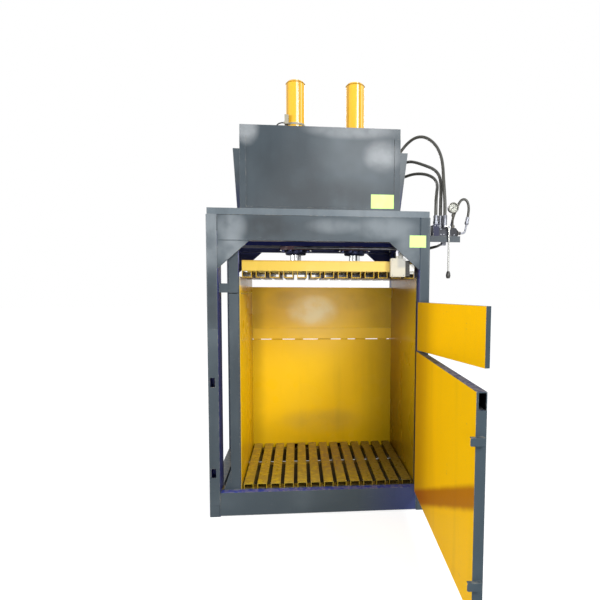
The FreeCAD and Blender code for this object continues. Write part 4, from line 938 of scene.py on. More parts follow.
def ripple(radius: float, count: int, ends: bool = True) -> Callable[[int], float]:
    """The uneven radius of overlapping scales along a weld bead.

    Args:
        radius: The bead's mean radius.
        count: How many steps it has.
        ends: Whether it tapers at its ends.

    Returns:
        The radius at each step's number.
    """

    def at(i: int) -> float:
        """The radius at one step."""
        scale = 1.0 + 0.13 * math.sin(i * 2.1) + 0.08 * math.sin(i * 0.37 + 1.3)
        taper = min(1.0, 0.45 + 0.25 * min(i, count - i)) if ends else 1.0
        return radius * scale * taper

    return at


# ------------------------------------------------------------------ the frame's own nodes


@dataclass
class Dresser:
    """Gives the CAD nodes their finishes and softens their edges.

    soften is the width of the small round put on the nodes' edges, join the distance at which
    points count as one, and the angles in degrees say what is flat and what is an edge.
    """

    soften: float = 0.0012
    join: float = 0.00002
    flat_angle: float = 0.4
    edge_angle: float = 50.0

    def cover(self, node: str, finish: Finish, round_edges: bool = True) -> None:
        """Put a finish on a node of the frame.

        Args:
            node: The node's name.
            finish: What covers it.
            round_edges: Whether its sharp edges are softened.
        """
        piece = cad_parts[node]
        piece.data.materials.clear()
        piece.data.materials.append(finish.material())
        if round_edges:
            self.round_off(piece)
        LOG.info("%s: %s", node, finish.name)

    def paint(self, node: str, name: str, *zones: Zone | Cloud, base: ShopPaint = SLATE) -> None:
        """Put a paint with its own zones of other colours on a node."""
        self.cover(node, replace(base, name=name, zones=zones))

    def round_off(self, piece: bpy.types.Object) -> None:
        """Soften a node's sharp edges with modifiers, which leave its mesh as it is.

        Args:
            piece: The node.
        """
        weld = piece.modifiers.new("weld", "WELD")
        weld.merge_threshold = self.join
        flat = piece.modifiers.new("flat", "DECIMATE")
        flat.decimate_type = "DISSOLVE"
        flat.angle_limit = math.radians(self.flat_angle)
        bevel = piece.modifiers.new("soft", "BEVEL")
        bevel.width = self.soften
        bevel.segments = 2
        bevel.limit_method = "ANGLE"
        bevel.angle_limit = math.radians(self.edge_angle)
        bevel.harden_normals = True
        bevel.use_clamp_overlap = True


@dataclass
class Framework:
    """Posts, sills, headers, rails, deck and column in slate paint, with painted navy and blue
    shade in their recesses, undersides and inner faces.
    """

    wall: float = 0.0035
    half_width: float = 0.715
    inner_half: float = 0.645
    post_faces: tuple[float, float] = (0.390, 0.550)

    def dress(self, dresser: Dresser) -> None:
        """Put the finishes on.

        Args:
            dresser: What covers the nodes.
        """
        self.dress_posts(dresser)
        self.dress_beams(dresser)
        self.dress_top(dresser)

    def dress_posts(self, dresser: Dresser) -> None:
        """Posts, latch strip and inner column.

        Args:
            dresser: What covers the nodes.
        """
        inner, outer = self.post_faces
        for node, left, front in (
            ("front_left_post", True, True), ("rear_left_post", True, False),
            ("front_right_post", False, True), ("rear_right_post", False, False),
        ):
            x = (-self.half_width, -self.inner_half) if left else (self.inner_half, self.half_width)
            y = (-outer, -inner) if front else (inner, outer)
            low = (x[0] + self.wall, y[0] + self.wall, -EVERYWHERE)
            high = (x[1] - self.wall, y[1] - self.wall, EVERYWHERE)
            # Painted navy shade inside each hollow post and on its faces turned inwards.
            zones: list[Zone | Cloud] = [
                Zone(NAVY_SHADE, low, high, strength=0.7, soft=0.0004),
                face_zone(NAVY_SHADE, RIGHT if left else LEFT, 0.75),
                face_zone(DEEP_NAVY_SHADE, BACKWARD if front else FORWARD, 0.55),
            ]
            if front and left:
                # Painted highlight high on the front left post and painted shade lower down, as
                # light falls from above.
                zones.append(
                    Cloud(SLATE_HIGHLIGHT, (-0.68, -0.55, 1.83), (0.3, 0.3, 0.30), 0.55, FORWARD)
                )
                zones.append(
                    Cloud(SLATE_SHADE, (-0.68, -0.55, 1.20), (0.3, 0.3, 0.42), 0.55, FORWARD)
                )
            elif front:
                # Painted reflected light: a yellow-brown cast from the yellow door on the post's
                # faces beside it.
                for side, strength in ((LEFT, 0.95), (FORWARD, 0.9)):
                    zones.append(face_zone(
                        "8a660c", side, strength, low_corner(z=0.17),
                        high_corner(x=0.662, z=1.07), soft=0.004,
                    ))
            dresser.paint(node, f"slate_{node}", *zones)
        dresser.cover("latch_strip", replace(SLATE, name="slate_latch_strip", wear=0.9))
        # Painted blue shade on the column's right face and navy shade on its back.
        dresser.paint(
            "inner_column", "slate_inner_column", face_zone(BRIGHT_BLUE_SHADE, RIGHT, 0.9),
            face_zone(NAVY_SHADE, BACKWARD, 0.6),
        )

    def dress_beams(self, dresser: Dresser) -> None:
        """Sills, base rails and headers.

        Args:
            dresser: What covers the nodes.
        """
        # Painted shade on the front sill: blue on its top at the front, navy on its front towards
        # the right end, deep navy on its back.
        dresser.paint(
            "front_sill", "slate_front_sill",
            face_zone(BRIGHT_BLUE_SHADE, UP, 0.85, high=high_corner(y=-0.500)),
            face_zone(NAVY_SHADE, FORWARD, 0.55, low=low_corner(x=0.42), soft=0.22),
            face_zone(DEEP_NAVY_SHADE, BACKWARD, 0.8),
        )
        for node in ("rear_sill", "left_base_rail", "right_base_rail"):
            dresser.cover(node, SLATE)
        # Painted light on the front header: navy shade on its back and underside, dark patches of
        # painted shade, pale patches of painted highlight, and a thin painted shadow along its top
        # under the deck's lip.
        pale, dark = "9aa1a6", SLATE_SHADE
        dresser.paint(
            "front_header", "slate_front_header",
            face_zone(NAVY_SHADE, BACKWARD, 0.8), face_zone(DEEP_NAVY_SHADE, DOWN, 0.9),
            Cloud(dark, (-0.33, -0.55, 1.86), (0.20, 0.3, 0.12), 0.85),
            Cloud(dark, (-0.12, -0.55, 1.85), (0.16, 0.3, 0.09), 0.35),
            Cloud(pale, (0.08, -0.55, 1.88), (0.20, 0.3, 0.06), 0.3),
            Cloud(pale, (0.42, -0.55, 1.87), (0.26, 0.3, 0.09), 0.35),
            Cloud(pale, (-0.56, -0.55, 1.87), (0.12, 0.3, 0.12), 0.45),
            Cloud(pale, (-0.56, -0.55, 1.72), (0.14, 0.3, 0.12), 0.45, FORWARD),
            Cloud(pale, (0.58, -0.55, 1.74), (0.12, 0.3, 0.12), 0.3, FORWARD),
            Zone(dark, low_corner(z=1.9415), high_corner(x=-0.02), strength=0.9, soft=0.0015),
        )
        # Painted navy shade on the rear header's front and underside.
        dresser.paint(
            "rear_header", "slate_rear_header",
            face_zone(NAVY_SHADE, FORWARD, 0.8), face_zone(DEEP_NAVY_SHADE, DOWN, 0.8),
        )

    def dress_top(self, dresser: Dresser) -> None:
        """Top rails, cylinder carrier and deck.

        Args:
            dresser: What covers the nodes.
        """
        # Painted navy shade on each top rail's inner face and underside.
        for node, side in (("left_top_rail", RIGHT), ("right_top_rail", LEFT)):
            dresser.paint(
                node, f"slate_{node}", face_zone(NAVY_SHADE, side, 0.85), face_zone(DEEP_NAVY_SHADE, DOWN, 0.8),
            )
        # Painted shade: the carrier sits under the deck, so it is deep navy all over and navy on
        # its front.
        dresser.paint(
            "cylinder_carrier", "slate_carrier_in_shade", Zone(DEEP_NAVY_SHADE, strength=0.85),
            face_zone("1a2160", FORWARD, 0.8),
            base=replace(SLATE, coat=0.0, specular=0.08, roughness=0.6),
        )
        # Painted deep navy shade on the deck's underside.
        dresser.paint(
            "deck_tray", "slate_deck", face_zone(DEEP_NAVY_SHADE, DOWN, 0.85),
            base=replace(SLATE, colour="5a646b", chalk="858c91"),
        )


@dataclass
class Chamber:
    """Walls, back plates, floor and platen in worn yellow, with painted shade near the floor, in
    the corners, in recesses and on the right, and a painted highlight on the back plates.
    """

    left_face: float = -0.5155
    right_face: float = 0.6375

    def dress(self, dresser: Dresser) -> None:
        """Put the finishes on.

        Args:
            dresser: What covers the nodes.
        """
        slate = SLATE.colour
        # Painted shade, darker towards the floor.
        foot = Zone("8a6c08", high=high_corner(z=0.36), strength=0.40, soft=0.20, ragged=0.06)
        top = Zone("8a7018", low_corner(z=1.30), strength=0.5, soft=0.12, ragged=0.05)
        # Painted olive shade towards the chamber's back corners and its right side, where less
        # light reaches.
        olive_shade = "8c7006"
        dresser.paint(
            "left_wall", "yellow_left_wall",
            foot, Zone(olive_shade, low_corner(y=0.22), strength=0.45, soft=0.18),
            Zone(BARE, low_corner(z=1.503), strength=0.8, ragged=0.004),
            Zone(slate, high=high_corner(x=self.left_face)), base=YELLOW,
        )
        # Painted shade: the right wall gets little light, so its yellow is a darker copy, with more
        # painted shade low down; it is also darker olive towards the top.
        dresser.paint(
            "right_wall", "shaded_yellow_right_wall", top,
            Zone("3c2e06", high=high_corner(z=0.75), strength=0.65, soft=0.45),
            Zone("a58c66", low_corner(z=1.488), strength=0.8, ragged=0.006),
            Zone(slate, low_corner(x=self.right_face)),
            base=replace(YELLOW, colour="b28e04", chalk="a68a18"),
        )
        for node in ("lower_back_plate", "upper_back_plate"):
            dresser.paint(
                node, f"yellow_{node}", foot,
                Zone(olive_shade, low_corner(x=0.44), strength=0.70, soft=0.18, ragged=0.03),
                Zone(olive_shade, high=high_corner(x=-0.44), strength=0.5, soft=0.06, ragged=0.02),
                # A painted reflection of a bright window high in the middle, painted shade on both
                # sides of it, and paler brown painted shade low in the middle.
                Cloud("fff0b8", (-0.02, 0.386, 1.30), (0.24, 0.3, 0.15), 0.95, FORWARD),
                Cloud("a67f12", (-0.24, 0.386, 1.39), (0.20, 0.3, 0.09), 0.40, FORWARD),
                Cloud("94700f", (0.32, 0.386, 1.38), (0.24, 0.3, 0.10), 0.35, FORWARD),
                Cloud("b5963c", (0.06, 0.386, 0.38), (0.42, 0.3, 0.13), 0.45, FORWARD),
                Zone(
                    "f0c63a", low_corner(z=1.072), high_corner(z=1.160), strength=0.45,
                    soft=0.004,
                ),
                Zone(slate, low_corner(y=0.402)), base=YELLOW,
            )
        rubbed = Zone("7c6640", facing=UP, strength=0.55, broken=0.46)
        pink = Zone(
            "8f6f66", low_corner(x=0.0, y=-0.3), high_corner(x=0.36, y=0.2), UP, 0.5,
            soft=0.12, broken=0.5,
        )
        # Painted shade on the floor: dark between and below the slats, on the slats' fronts and
        # sides, and across the right part shadowed by the right wall and door; the rubbed and pink
        # marks are wear.
        dresser.paint(
            "floor_grid", "yellow_floor",
            Zone("2a2410", high=high_corner(z=0.1605), strength=0.9),
            rubbed, pink,
            Zone("463a10", low_corner(x=0.30), strength=0.75, soft=0.25),
            Zone("5d4a1a", facing=FORWARD, strength=0.5),
            Zone(
                "4e3d10", low_corner(y=-0.4965), high_corner(y=0.388, z=0.1945),
                strength=0.7, soft=0.0008,
            ),
            base=replace(YELLOW, colour="bfa41c", chalk="b09c50", grime="5d4d14"),
        )
        platen = replace(YELLOW, colour="cfae46", chalk="dcc684", wear=0.7)
        # Painted shade along the platen's top edge and painted light that pales its right part.
        dresser.paint(
            "platen_frame", "yellow_platen_frame",
            Zone("a87a18", low_corner(z=1.658), strength=0.6, soft=0.006),
            Zone("dcbf72", low_corner(x=0.05), strength=0.5, soft=0.3), base=platen,
        )
        # Painted shade inside the slats' channels and, broken up, on their undersides.
        dresser.paint(
            "platen_slats", "yellow_platen_slats",
            Zone("33270c", low_corner(y=-0.4845), strength=0.85, soft=0.001),
            Zone("5a4718", facing=DOWN, strength=0.6, broken=0.4),
            base=replace(platen, colour="b8921e", chalk="c4a650"),
        )


@dataclass
class Press:
    """Barrels, glands, rods, pistons, their bolts and the position sensor."""

    cap_level: float = 2.936
    barrel_radius: float = 0.0665
    boss_radius: float = 0.016
    boss_level: float = 2.890
    reflection_foot: float = 1.81
    middle_y: float = -0.055
    middles_x: tuple[float, float] = (-0.158, 0.272)

    def dress(self, dresser: Dresser) -> None:
        """Put the finishes on.

        Args:
            dresser: What covers the nodes.
        """
        # Painted navy shade on the barrels below the deck.
        barrel = replace(
            YELLOW, name="barrel_yellow", colour="ebb42d", chalk="f6cd62", grime="b8820c",
            mottle=0.4, streaks=0.18, roughness=0.20, coat=0.6, waves=0.05, wear=0.3,
            zones=(Zone(NAVY_SHADE, high=high_corner(z=1.7995), strength=0.8), *self.painted_reflections()),
        )
        chrome = Metal("ground_chrome", "d5d7d8", "8e8b84", 0.10, 0.18, (1.0, 1.0, 6.0), 0.15)
        iron = Metal("oiled_iron", "8c8a86", "4a4742", 0.32, 0.5)
        for side in ("left", "right"):
            dresser.cover(f"{side}_barrel", barrel, round_edges=False)
            dresser.cover(f"{side}_rod", chrome, round_edges=False)
            dresser.cover(f"{side}_piston", iron, round_edges=False)
        # Painted navy shade: the glands and their bolts sit in shade under the deck, so their steel
        # is coloured dark navy.
        dresser.cover("cylinder_glands", Metal("gland_steel_in_shade", "363a52", "1c1f3c", 0.42, 0.7))
        dresser.cover("gland_bolts", Metal("bolt_zinc_in_shade", "40435f", "1f2142", 0.38, 0.7))
        strap = Zone("2a2926", high=high_corner(z=2.641))
        dresser.cover("cylinder_sensor", Moulding(
            "sensor_casing", "9b9684", "77725f", 0.5, 0.4, zones=(strap,),
        ))

    def painted_reflections(self) -> Iterable[Zone]:
        """Painted reflections: upright pale and brown bands on the front of both barrels.

        Yields:
            Each band.
        """
        brown, cream = "9a6a10", "fff2c8"
        for x in self.middles_x:
            for colour, low, high, strength in (
                (brown, -0.060, -0.050, 0.45), (cream, 0.006, 0.014, 0.8),
                (brown, 0.018, 0.030, 0.55), (cream, 0.040, 0.044, 0.6),
            ):
                yield Zone(
                    colour, low_corner(x=x + low, z=self.reflection_foot),
                    high_corner(x=x + high, y=self.middle_y), strength=strength,
                )

    def build(self) -> None:
        """Weld beads at the barrels' end caps and cap ports."""
        beads = Shape()
        for x in self.middles_x:
            beads.ring_bead((x, self.middle_y, self.cap_level), UP, self.barrel_radius, 0.0030)
            boss_y = self.middle_y + self.barrel_radius - 0.001
            beads.ring_bead((x, boss_y, self.boss_level), BACKWARD, self.boss_radius, 0.0030)
        paint = replace(YELLOW, name="bead_yellow", colour="a87c10", roughness=0.3, wear=0.2)
        beads.finish("barrel_welds", paint, "yellow_paint")


@dataclass
class Doors:
    """Lower and upper doors: yellow inside, slate round the rim and outside."""

    lower_inner: Point = (-0.9986, 0.0523, 0.0)
    upper_inner: Point = (-0.9799, -0.1994, 0.0)
    lower_skin: tuple[Point, float, float] = (lower_inner, -0.6565, EVERYWHERE)
    lower_hollow: tuple[Point, float, float] = (lower_inner, -0.6940, -0.6640)
    upper_skin: tuple[Point, float, float] = (upper_inner, -0.4979, EVERYWHERE)

    def dress(self, dresser: Dresser) -> None:
        """Put the finishes on.

        Args:
            dresser: What covers the nodes.
        """
        lower = replace(MATT_SLATE, name="slate_lower_door", zones=(
            # Painted blue-violet and deep navy shade on the rim's top face.
            face_zone("2a2a66", UP, 0.8, low_corner(z=1.075), high_corner(y=-1.25), soft=0.2),
            face_zone(DEEP_NAVY_SHADE, UP, 0.7, low_corner(y=-1.25, z=1.075), soft=0.2),
            # Painted shadow inside the rim's hollow.
            Zone(
                "0d0f12", low_corner(z=1.0055), high_corner(z=1.0745),
                slab=self.lower_hollow, soft=0.0005,
            ),
            face_zone("f4bc04", self.lower_inner, slab=self.lower_skin),
            # Painted shade on the yellow face towards the hinge.
            face_zone(
                "8a6008", self.lower_inner, 0.60, low_corner(y=-0.95), slab=self.lower_skin,
                soft=0.28,
            ),
            # A painted reflection of the sill's shadow: a sloping red-brown band across the yellow
            # face.
            face_zone(
                "903a02", self.lower_inner, 0.75, slope=-0.4157, slab=self.lower_skin,
                low=low_corner(z=-0.190), high=high_corner(y=-0.58, z=-0.088),
                soft=0.020, ragged=0.006,
            ),
        ))
        dresser.cover("lower_door", lower)
        dresser.cover("upper_door", replace(MATT_SLATE, name="slate_upper_door", zones=(
            face_zone("f6bc04", self.upper_inner, slab=self.upper_skin),
            # Painted shade on the yellow face towards the hinge.
            face_zone(
                "7c5c06", self.upper_inner, 0.65, low_corner(y=-0.76), slab=self.upper_skin,
                soft=0.16,
            ),
        )))


@dataclass
class Cover:
    """Guards on the deck."""

    def dress(self, dresser: Dresser) -> None:
        """Put the finishes on.

        Args:
            dresser: What covers the nodes.
        """
        sheet = replace(
            SLATE, waves=1.2, roughness=0.34, coat=0.12, specular=0.26, mottle=0.6,
            colour="333d44",
        )
        # Painted light on the front guard: dark patches of painted shade and pale patches of
        # painted highlight.
        pale, dark = "b9bdc0", SLATE_SHADE
        dresser.paint(
            "front_guard", "slate_front_guard",
            Cloud(dark, (-0.20, -0.53, 2.24), (0.30, 0.3, 0.22), 0.45),
            Cloud(dark, (0.10, -0.53, 2.05), (0.62, 0.3, 0.16), 0.6),
            Cloud(pale, (0.20, -0.53, 2.49), (0.36, 0.3, 0.07), 0.30),
            Cloud(pale, (0.40, -0.53, 2.33), (0.15, 0.3, 0.12), 0.38),
            Cloud(pale, (-0.46, -0.53, 2.48), (0.09, 0.3, 0.12), 0.52),
            base=sheet,
        )
        # Painted navy shade low on the rear guard's front.
        dresser.paint(
            "rear_guard", "slate_rear_guard",
            face_zone(NAVY_SHADE, FORWARD, 0.4, high=high_corner(z=2.22), soft=0.1),
            base=sheet,
        )


@dataclass
class PowerUnit:
    """Oil tank, motor, shaft and pump."""

    def dress(self, dresser: Dresser) -> None:
        """Put the finishes on.

        Args:
            dresser: What covers the nodes.
        """
        dresser.cover("oil_tank", replace(SLATE, name="slate_tank", waves=0.6))
        dresser.cover("tank_fittings", ZINC)
        dresser.cover("motor_housing", ShopPaint(
            "motor_paint", "56636d", "7c868d", "333c43", roughness=0.45, waves=0.02,
        ), round_edges=False)
        dresser.cover("motor_shaft", Metal("shaft_steel", grain=(1.0, 1.0, 4.0)), round_edges=False)
        dresser.cover("hydraulic_pump", Metal("pump_aluminium", "a5a7a8", "6b6a66", 0.42, 0.5))


# ------------------------------------------------------------------ hoses


@dataclass(frozen=True)
class Hose:
    """A free hose or cable: its node, route in millimetres, diameter and length in metres."""

    node: str
    diameter: float
    length: float
    route: tuple[Point, ...]
    stiffness: str = "medium"

    def build(self, finish: Finish) -> bpy.types.Object:
        """Args:
            finish: What covers it.

        Returns:
            The hose.
        """
        data = bpy.data.curves.new(f"{self.node}_run", "CURVE")
        data.dimensions = "3D"
        data.bevel_depth = self.diameter / 2
        data.bevel_resolution = 6
        data.resolution_u = 10
        data.use_fill_caps = True
        line = data.splines.new("NURBS")
        line.points.add(len(self.route) - 1)
        for point, place in zip(line.points, self.route):
            point.co = (*(c * MM for c in place), 1.0)
        line.order_u = 3
        line.use_endpoint_u = True
        piece = placed(f"{self.node}_run", data)
        data.materials.append(finish.material())
        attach(piece, Body.BASE.value)
        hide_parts(self.node)
        LOG.info("%s_run: %.3f m", self.node, self.length)
        return piece


HOSES = (
    Hose("hose_cap_side", 0.022, 1.18, (
        (833, -462, 1975), (833, -462, 2055), (828, -455, 2140), (831, -420, 2230),
        (843, -360, 2320), (851, -282, 2408), (845, -198, 2492), (822, -114, 2562),
        (783, -38, 2610), (736, 28, 2620), (688, 78, 2590), (643, 102, 2535),
        (605, 106, 2470), (605, 106, 2405),
    )),
    Hose("hose_pressure", 0.022, 1.03, (
        (812, -430, 1975), (812, -430, 2045), (814, -426, 2115), (820, -404, 2184),
        (827, -350, 2245), (829, -272, 2298), (820, -188, 2342), (802, -102, 2378),
        (777, -27, 2410), (748, 42, 2440), (718, 100, 2460), (688, 153, 2464),
        (648, 192, 2454), (600, 210, 2440), (545, 210, 2440),
    )),
    Hose("hose_return", 0.022, 0.97, (
        (775, -448, 1975), (775, -448, 2035), (781, -428, 2093), (797, -382, 2143),
        (818, -320, 2190), (831, -248, 2238), (829, -176, 2280), (812, -104, 2315),
        (785, -28, 2341), (752, 42, 2356), (722, 102, 2361), (690, 152, 2356),
        (650, 188, 2348), (602, 207, 2340), (550, 207, 2340),
    )),
    Hose("hose_rod_side", 0.020, 0.30, (
        (835, -400, 1793), (835, -360, 1793), (838, -321, 1791), (835, -277, 1787),
        (818, -236, 1782), (786.5, -203.5, 1775), (745, -186, 1770), (700, -186, 1770),
    )),
    Hose("hose_gauge", 0.017, 0.33, (
        (893, -428, 1925), (896, -428, 1953), (908, -428, 1990), (924, -429, 2028),
        (938, -430, 2062), (953, -432, 2084), (974, -435, 2090), (992, -438, 2076),
        (1001, -440, 2050), (1003, -442, 2010), (995, -445, 1966),
    )),
    Hose("sensor_cable", 0.009, 0.69, (
        (-240, -114, 2650), (-256, -114, 2650), (-277, -114, 2643), (-293, -114, 2626),
        (-301, -114, 2600), (-303, -113, 2555), (-297, -110, 2480), (-292, -106, 2370),
        (-300, -104, 2255), (-310, -108, 2145), (-305, -114, 2065), (-305, -114, 2001),
    )),
)


@dataclass
class Hoses:
    """The hoses, the sensor's cable and the crimped ends of the hoses."""

    ferrule: float = 0.0145
    loop_ferrule: float = 0.0105
    crimp_pitch: float = 0.0075
    crimp_rise: float = 0.0008
    crimp_groove: float = 0.0002
    crimp_lift: float = 0.0001

    def build(self) -> None:
        """Lay every hose and put rings on the ferrules."""
        rubber = Moulding("hose_rubber", "34342f", "6b6a62", 0.46, 0.35, 700.0, 0.5)
        jacket = Moulding("cable_jacket", "1b1b1b", "55534d", 0.40, 0.2)
        for hose in HOSES:
            hose.build(jacket if hose.node == "sensor_cable" else rubber)
        self.build_crimps()

    def build_crimps(self) -> None:
        """Pressed rings round each hose's ferrules."""
        shape = Shape()
        for base, axis, length, radius in (
            ((0.833, -0.462, 1.915), UP, 0.060, self.ferrule),
            ((0.812, -0.430, 1.915), UP, 0.060, self.ferrule),
            ((0.775, -0.448, 1.938), UP, 0.037, self.ferrule),
            ((0.893, -0.428, 1.908), UP, 0.017, self.loop_ferrule),
            ((0.504, 0.210, 2.440), RIGHT, 0.041, self.ferrule),
            ((0.514, 0.207, 2.340), RIGHT, 0.036, self.ferrule),
            ((0.605, 0.106, 2.370), UP, 0.035, self.ferrule),
            (
                (0.995, -0.445, 1.966), (-0.0084, -0.0028, -0.0476), 0.026,
                self.loop_ferrule + 0.0010,
            ),
        ):
            self.crimp(shape, base, axis, length, radius)
        shape.finish("hose_crimps", ZINC, "zinc_steel")

    def crimp(self, shape: Shape, base: Point, axis: Point, length: float, radius: float) -> None:
        """A corrugated sleeve over one ferrule.

        Args:
            shape: What it is added to.
            base: The ferrule's start.
            axis: Its direction.
            length: Its length.
            radius: Its radius.
        """
        count = max(1, int(length / self.crimp_pitch))
        pitch = length / count
        rise, groove = radius + self.crimp_rise, radius + self.crimp_groove
        profile = [(radius + self.crimp_lift, 0.0)]
        for i in range(count):
            foot = i * pitch
            profile += [
                (rise, foot + 0.15 * pitch), (rise, foot + 0.65 * pitch),
                (groove, foot + 0.8 * pitch),
            ]
        profile.append((radius + self.crimp_lift, length))
        shape.turned(base, axis, profile, sides=24)


# ------------------------------------------------------------------ valve group and gauge


@dataclass
class ValveGroup:
    """Bracket, valve, fittings, lever, knob and pressure gauge."""

    gauge_centre: Point = (0.890, -0.470, 2.026)
    gauge_radius: float = 0.034
    dial_radius: float = 0.0296
    dial_depth: float = 0.0108
    dial_thickness: float = 0.0012
    scale_start: float = 225.0
    scale_sweep: float = 270.0
    scale_steps: int = 27
    tick_feet: tuple[float, float, float] = (0.0210, 0.0235, 0.0250)
    tick_end: float = 0.0272
    lever_pin: Point = (0.852, -0.511, 1.893)
    spool: Point = (0.9045, -0.4480, 1.8595)
    casting_front: float = -0.4838
    casting_top: float = 1.891
    bright: Metal = Metal("bright_steel", "c4c4c0", "75726b", 0.2, 0.25, (1.0, 1.0, 5.0))

    def dress(self, dresser: Dresser) -> None:
        """Put the finishes on.

        Args:
            dresser: What covers the nodes.
        """
        dresser.cover("valve_bracket", replace(SLATE, name="slate_shelf", colour="3b3f44"))
        dresser.cover("valve_body", ShopPaint(
            "valve_casting", "24262c", "5a5d68", "101114",
            roughness=0.42, waves=0.02, wear=0.9, mottle=0.8, zones=(
                # Painted navy shade on the casting's end beside the post.
                Zone("191c3c", high=high_corner(x=0.7895), strength=0.8, soft=0.004),
                Zone("111113", low_corner(x=0.868), strength=0.75, soft=0.003),
            ),
        ))
        dresser.cover("valve_fittings", ZINC)
        dresser.cover("control_lever", self.bright)
        dresser.cover("lever_knob", Moulding("knob_plastic", "2b2a26", "55534a", 0.35, 0.3),
                      round_edges=False)
        dresser.cover("gauge_case", Metal("gauge_casing", "474540", "262421", 0.34, 0.5),
                      round_edges=False)
        dresser.cover("gauge_needle", Moulding("needle_lacquer", "151515", "2b2b2b", 0.4, 0.1),
                      round_edges=False)
        dresser.cover("gauge_glass", ClearGlass("gauge_pane"), round_edges=False)

    def build(self) -> None:
        """Build the gauge's fine parts, the lever's joint and the valve's trim."""
        self.build_gauge()
        self.build_lever_joint()
        self.build_trim()

    def build_gauge(self) -> None:
        """Dial with its scale, and the bezel round the case's mouth."""
        x, front, z = self.gauge_centre
        dial = Shape()
        base = (x, front + self.dial_depth + self.dial_thickness, z)
        sheet = ((self.dial_radius, 0.0), (self.dial_radius, self.dial_thickness))
        dial.turned(base, FORWARD, sheet, sides=48)
        dial.finish("gauge_dial", DialFace("dial_face"))
        scale = Shape()
        long_foot, middle_foot, short_foot = self.tick_feet
        for i in range(self.scale_steps + 1):
            angle = math.radians(self.scale_start - i * self.scale_sweep / self.scale_steps)
            inner = long_foot if i % 9 == 0 else middle_foot if i % 3 == 0 else short_foot
            width = 0.0005 if i % 9 == 0 else 0.0003
            self.tick(scale, angle, inner, width)
        scale.finish("gauge_scale", Moulding("scale_ink", "1c1c1c", "3a3a3a", 0.5, 0.1))
        bezel = Shape()
        rim = self.gauge_radius
        bezel.washer((x, front, z), FORWARD, (
            (rim - 0.0045, -0.001), (rim - 0.0045, 0.0012), (rim - 0.0030, 0.0022),
            (rim - 0.0008, 0.0022), (rim + 0.0010, 0.0012), (rim + 0.0012, -0.005),
            (rim + 0.0002, -0.0062), (rim - 0.0002, -0.002),
        ))
        bezel.finish("gauge_bezel", Metal("bezel_steel", "5c5b56", "302f2c", 0.25, 0.4),
                     "gauge_steel")

    def tick(self, shape: Shape, angle: float, inner: float, width: float) -> None:
        """One raised line of the scale.

        Args:
            shape: What it is added to.
            angle: Its direction from the dial's middle, in radians.
            inner: How far from the middle it starts.
            width: Half its width.
        """
        outer = self.tick_end
        x, front, z = self.gauge_centre
        along = Vector((math.cos(angle), 0.0, math.sin(angle)))
        across = Vector((-math.sin(angle), 0.0, math.cos(angle))) * width
        level = front + self.dial_depth
        rings = []
        for y in (level - 0.00012, level + 0.0002):
            middle = Vector((x, y, z))
            rings.append(shape.ring((
                middle + along * inner + across, middle + along * outer + across,
                middle + along * outer - across, middle + along * inner - across,
            )))
        shape.bridge(*rings)
        shape.cap(rings)

    def build_lever_joint(self) -> None:
        """Pin head with its washer, and the lever's short cross link."""
        x, y, z = self.lever_pin
        joint = Shape()
        joint.turned(
            (x, y, z), FORWARD, ((0.0075, -0.0005), (0.0075, 0.0012), (0.0062, 0.0012)), sides=24,
        )
        joint.turned(
            (x, y - 0.0012, z), FORWARD, ((0.0055, 0.0), (0.0055, 0.0030), (0.0040, 0.0042)),
            sides=16,
        )
        joint.finish("lever_joint_pin", ZINC, "zinc_steel")
        link = Shape()
        link.block((x - 0.030, y + 0.0035, z + 0.0015), (x - 0.006, y + 0.0165, z + 0.0095), 0.0022)
        link.turned(
            (x - 0.026, y + 0.0030, z + 0.0055), FORWARD,
            ((0.0062, 0.0), (0.0062, 0.003), (0.005, 0.004)),
        )
        link.turned(
            (x, y + 0.011, z), UP, ((0.0078, -0.020), (0.0078, -0.011), (0.0070, -0.0095)),
            sides=24,
        )
        link.finish("lever_link", self.bright, "zinc_steel", Body.LEVER)

    def build_trim(self) -> None:
        """Dark rings round the spool cap, the cap screws, and the loop end's pressed nut."""
        right, middle_y, level = self.spool
        rings = Shape()
        for offset in (0.004, 0.010, 0.016):
            rings.washer((right + offset, middle_y, level), RIGHT, (
                (0.0190, -0.0015), (0.0216, -0.0015), (0.0222, 0.0), (0.0216, 0.0015),
                (0.0190, 0.0015),
            ))
        rings.finish("cap_rings", Moulding("ring_rubber", "171717", "3d3b37", 0.5, 0.2))
        screws = Shape()
        front, top = self.casting_front, self.casting_top
        for x, z in (
            (0.802, top - 0.010), (0.802, top - 0.045), (0.822, top - 0.045), (0.892, top - 0.046),
        ):
            screws.screw((x, front, z), FORWARD, 0.0050)
        for x in (0.762, 0.781):
            screws.screw((x, front, top + 0.012), FORWARD, 0.0045)
        screws.finish("casting_screws", ZINC, "zinc_steel")
        nut = Shape()
        low, high = Vector((0.9900, -0.4462, 1.9380)), Vector((0.9866, -0.4478, 1.9184))
        nut.turned(
            low, high - low, ((0.0120, 0.0), (0.0136, 0.0015), (0.0136, 0.0175), (0.0120, 0.0195)),
            sides=6,
        )
        nut.finish("loop_nut", replace(ZINC, name="nut_zinc", colour="75777e"), "zinc_steel")


# ------------------------------------------------------------------ switch box


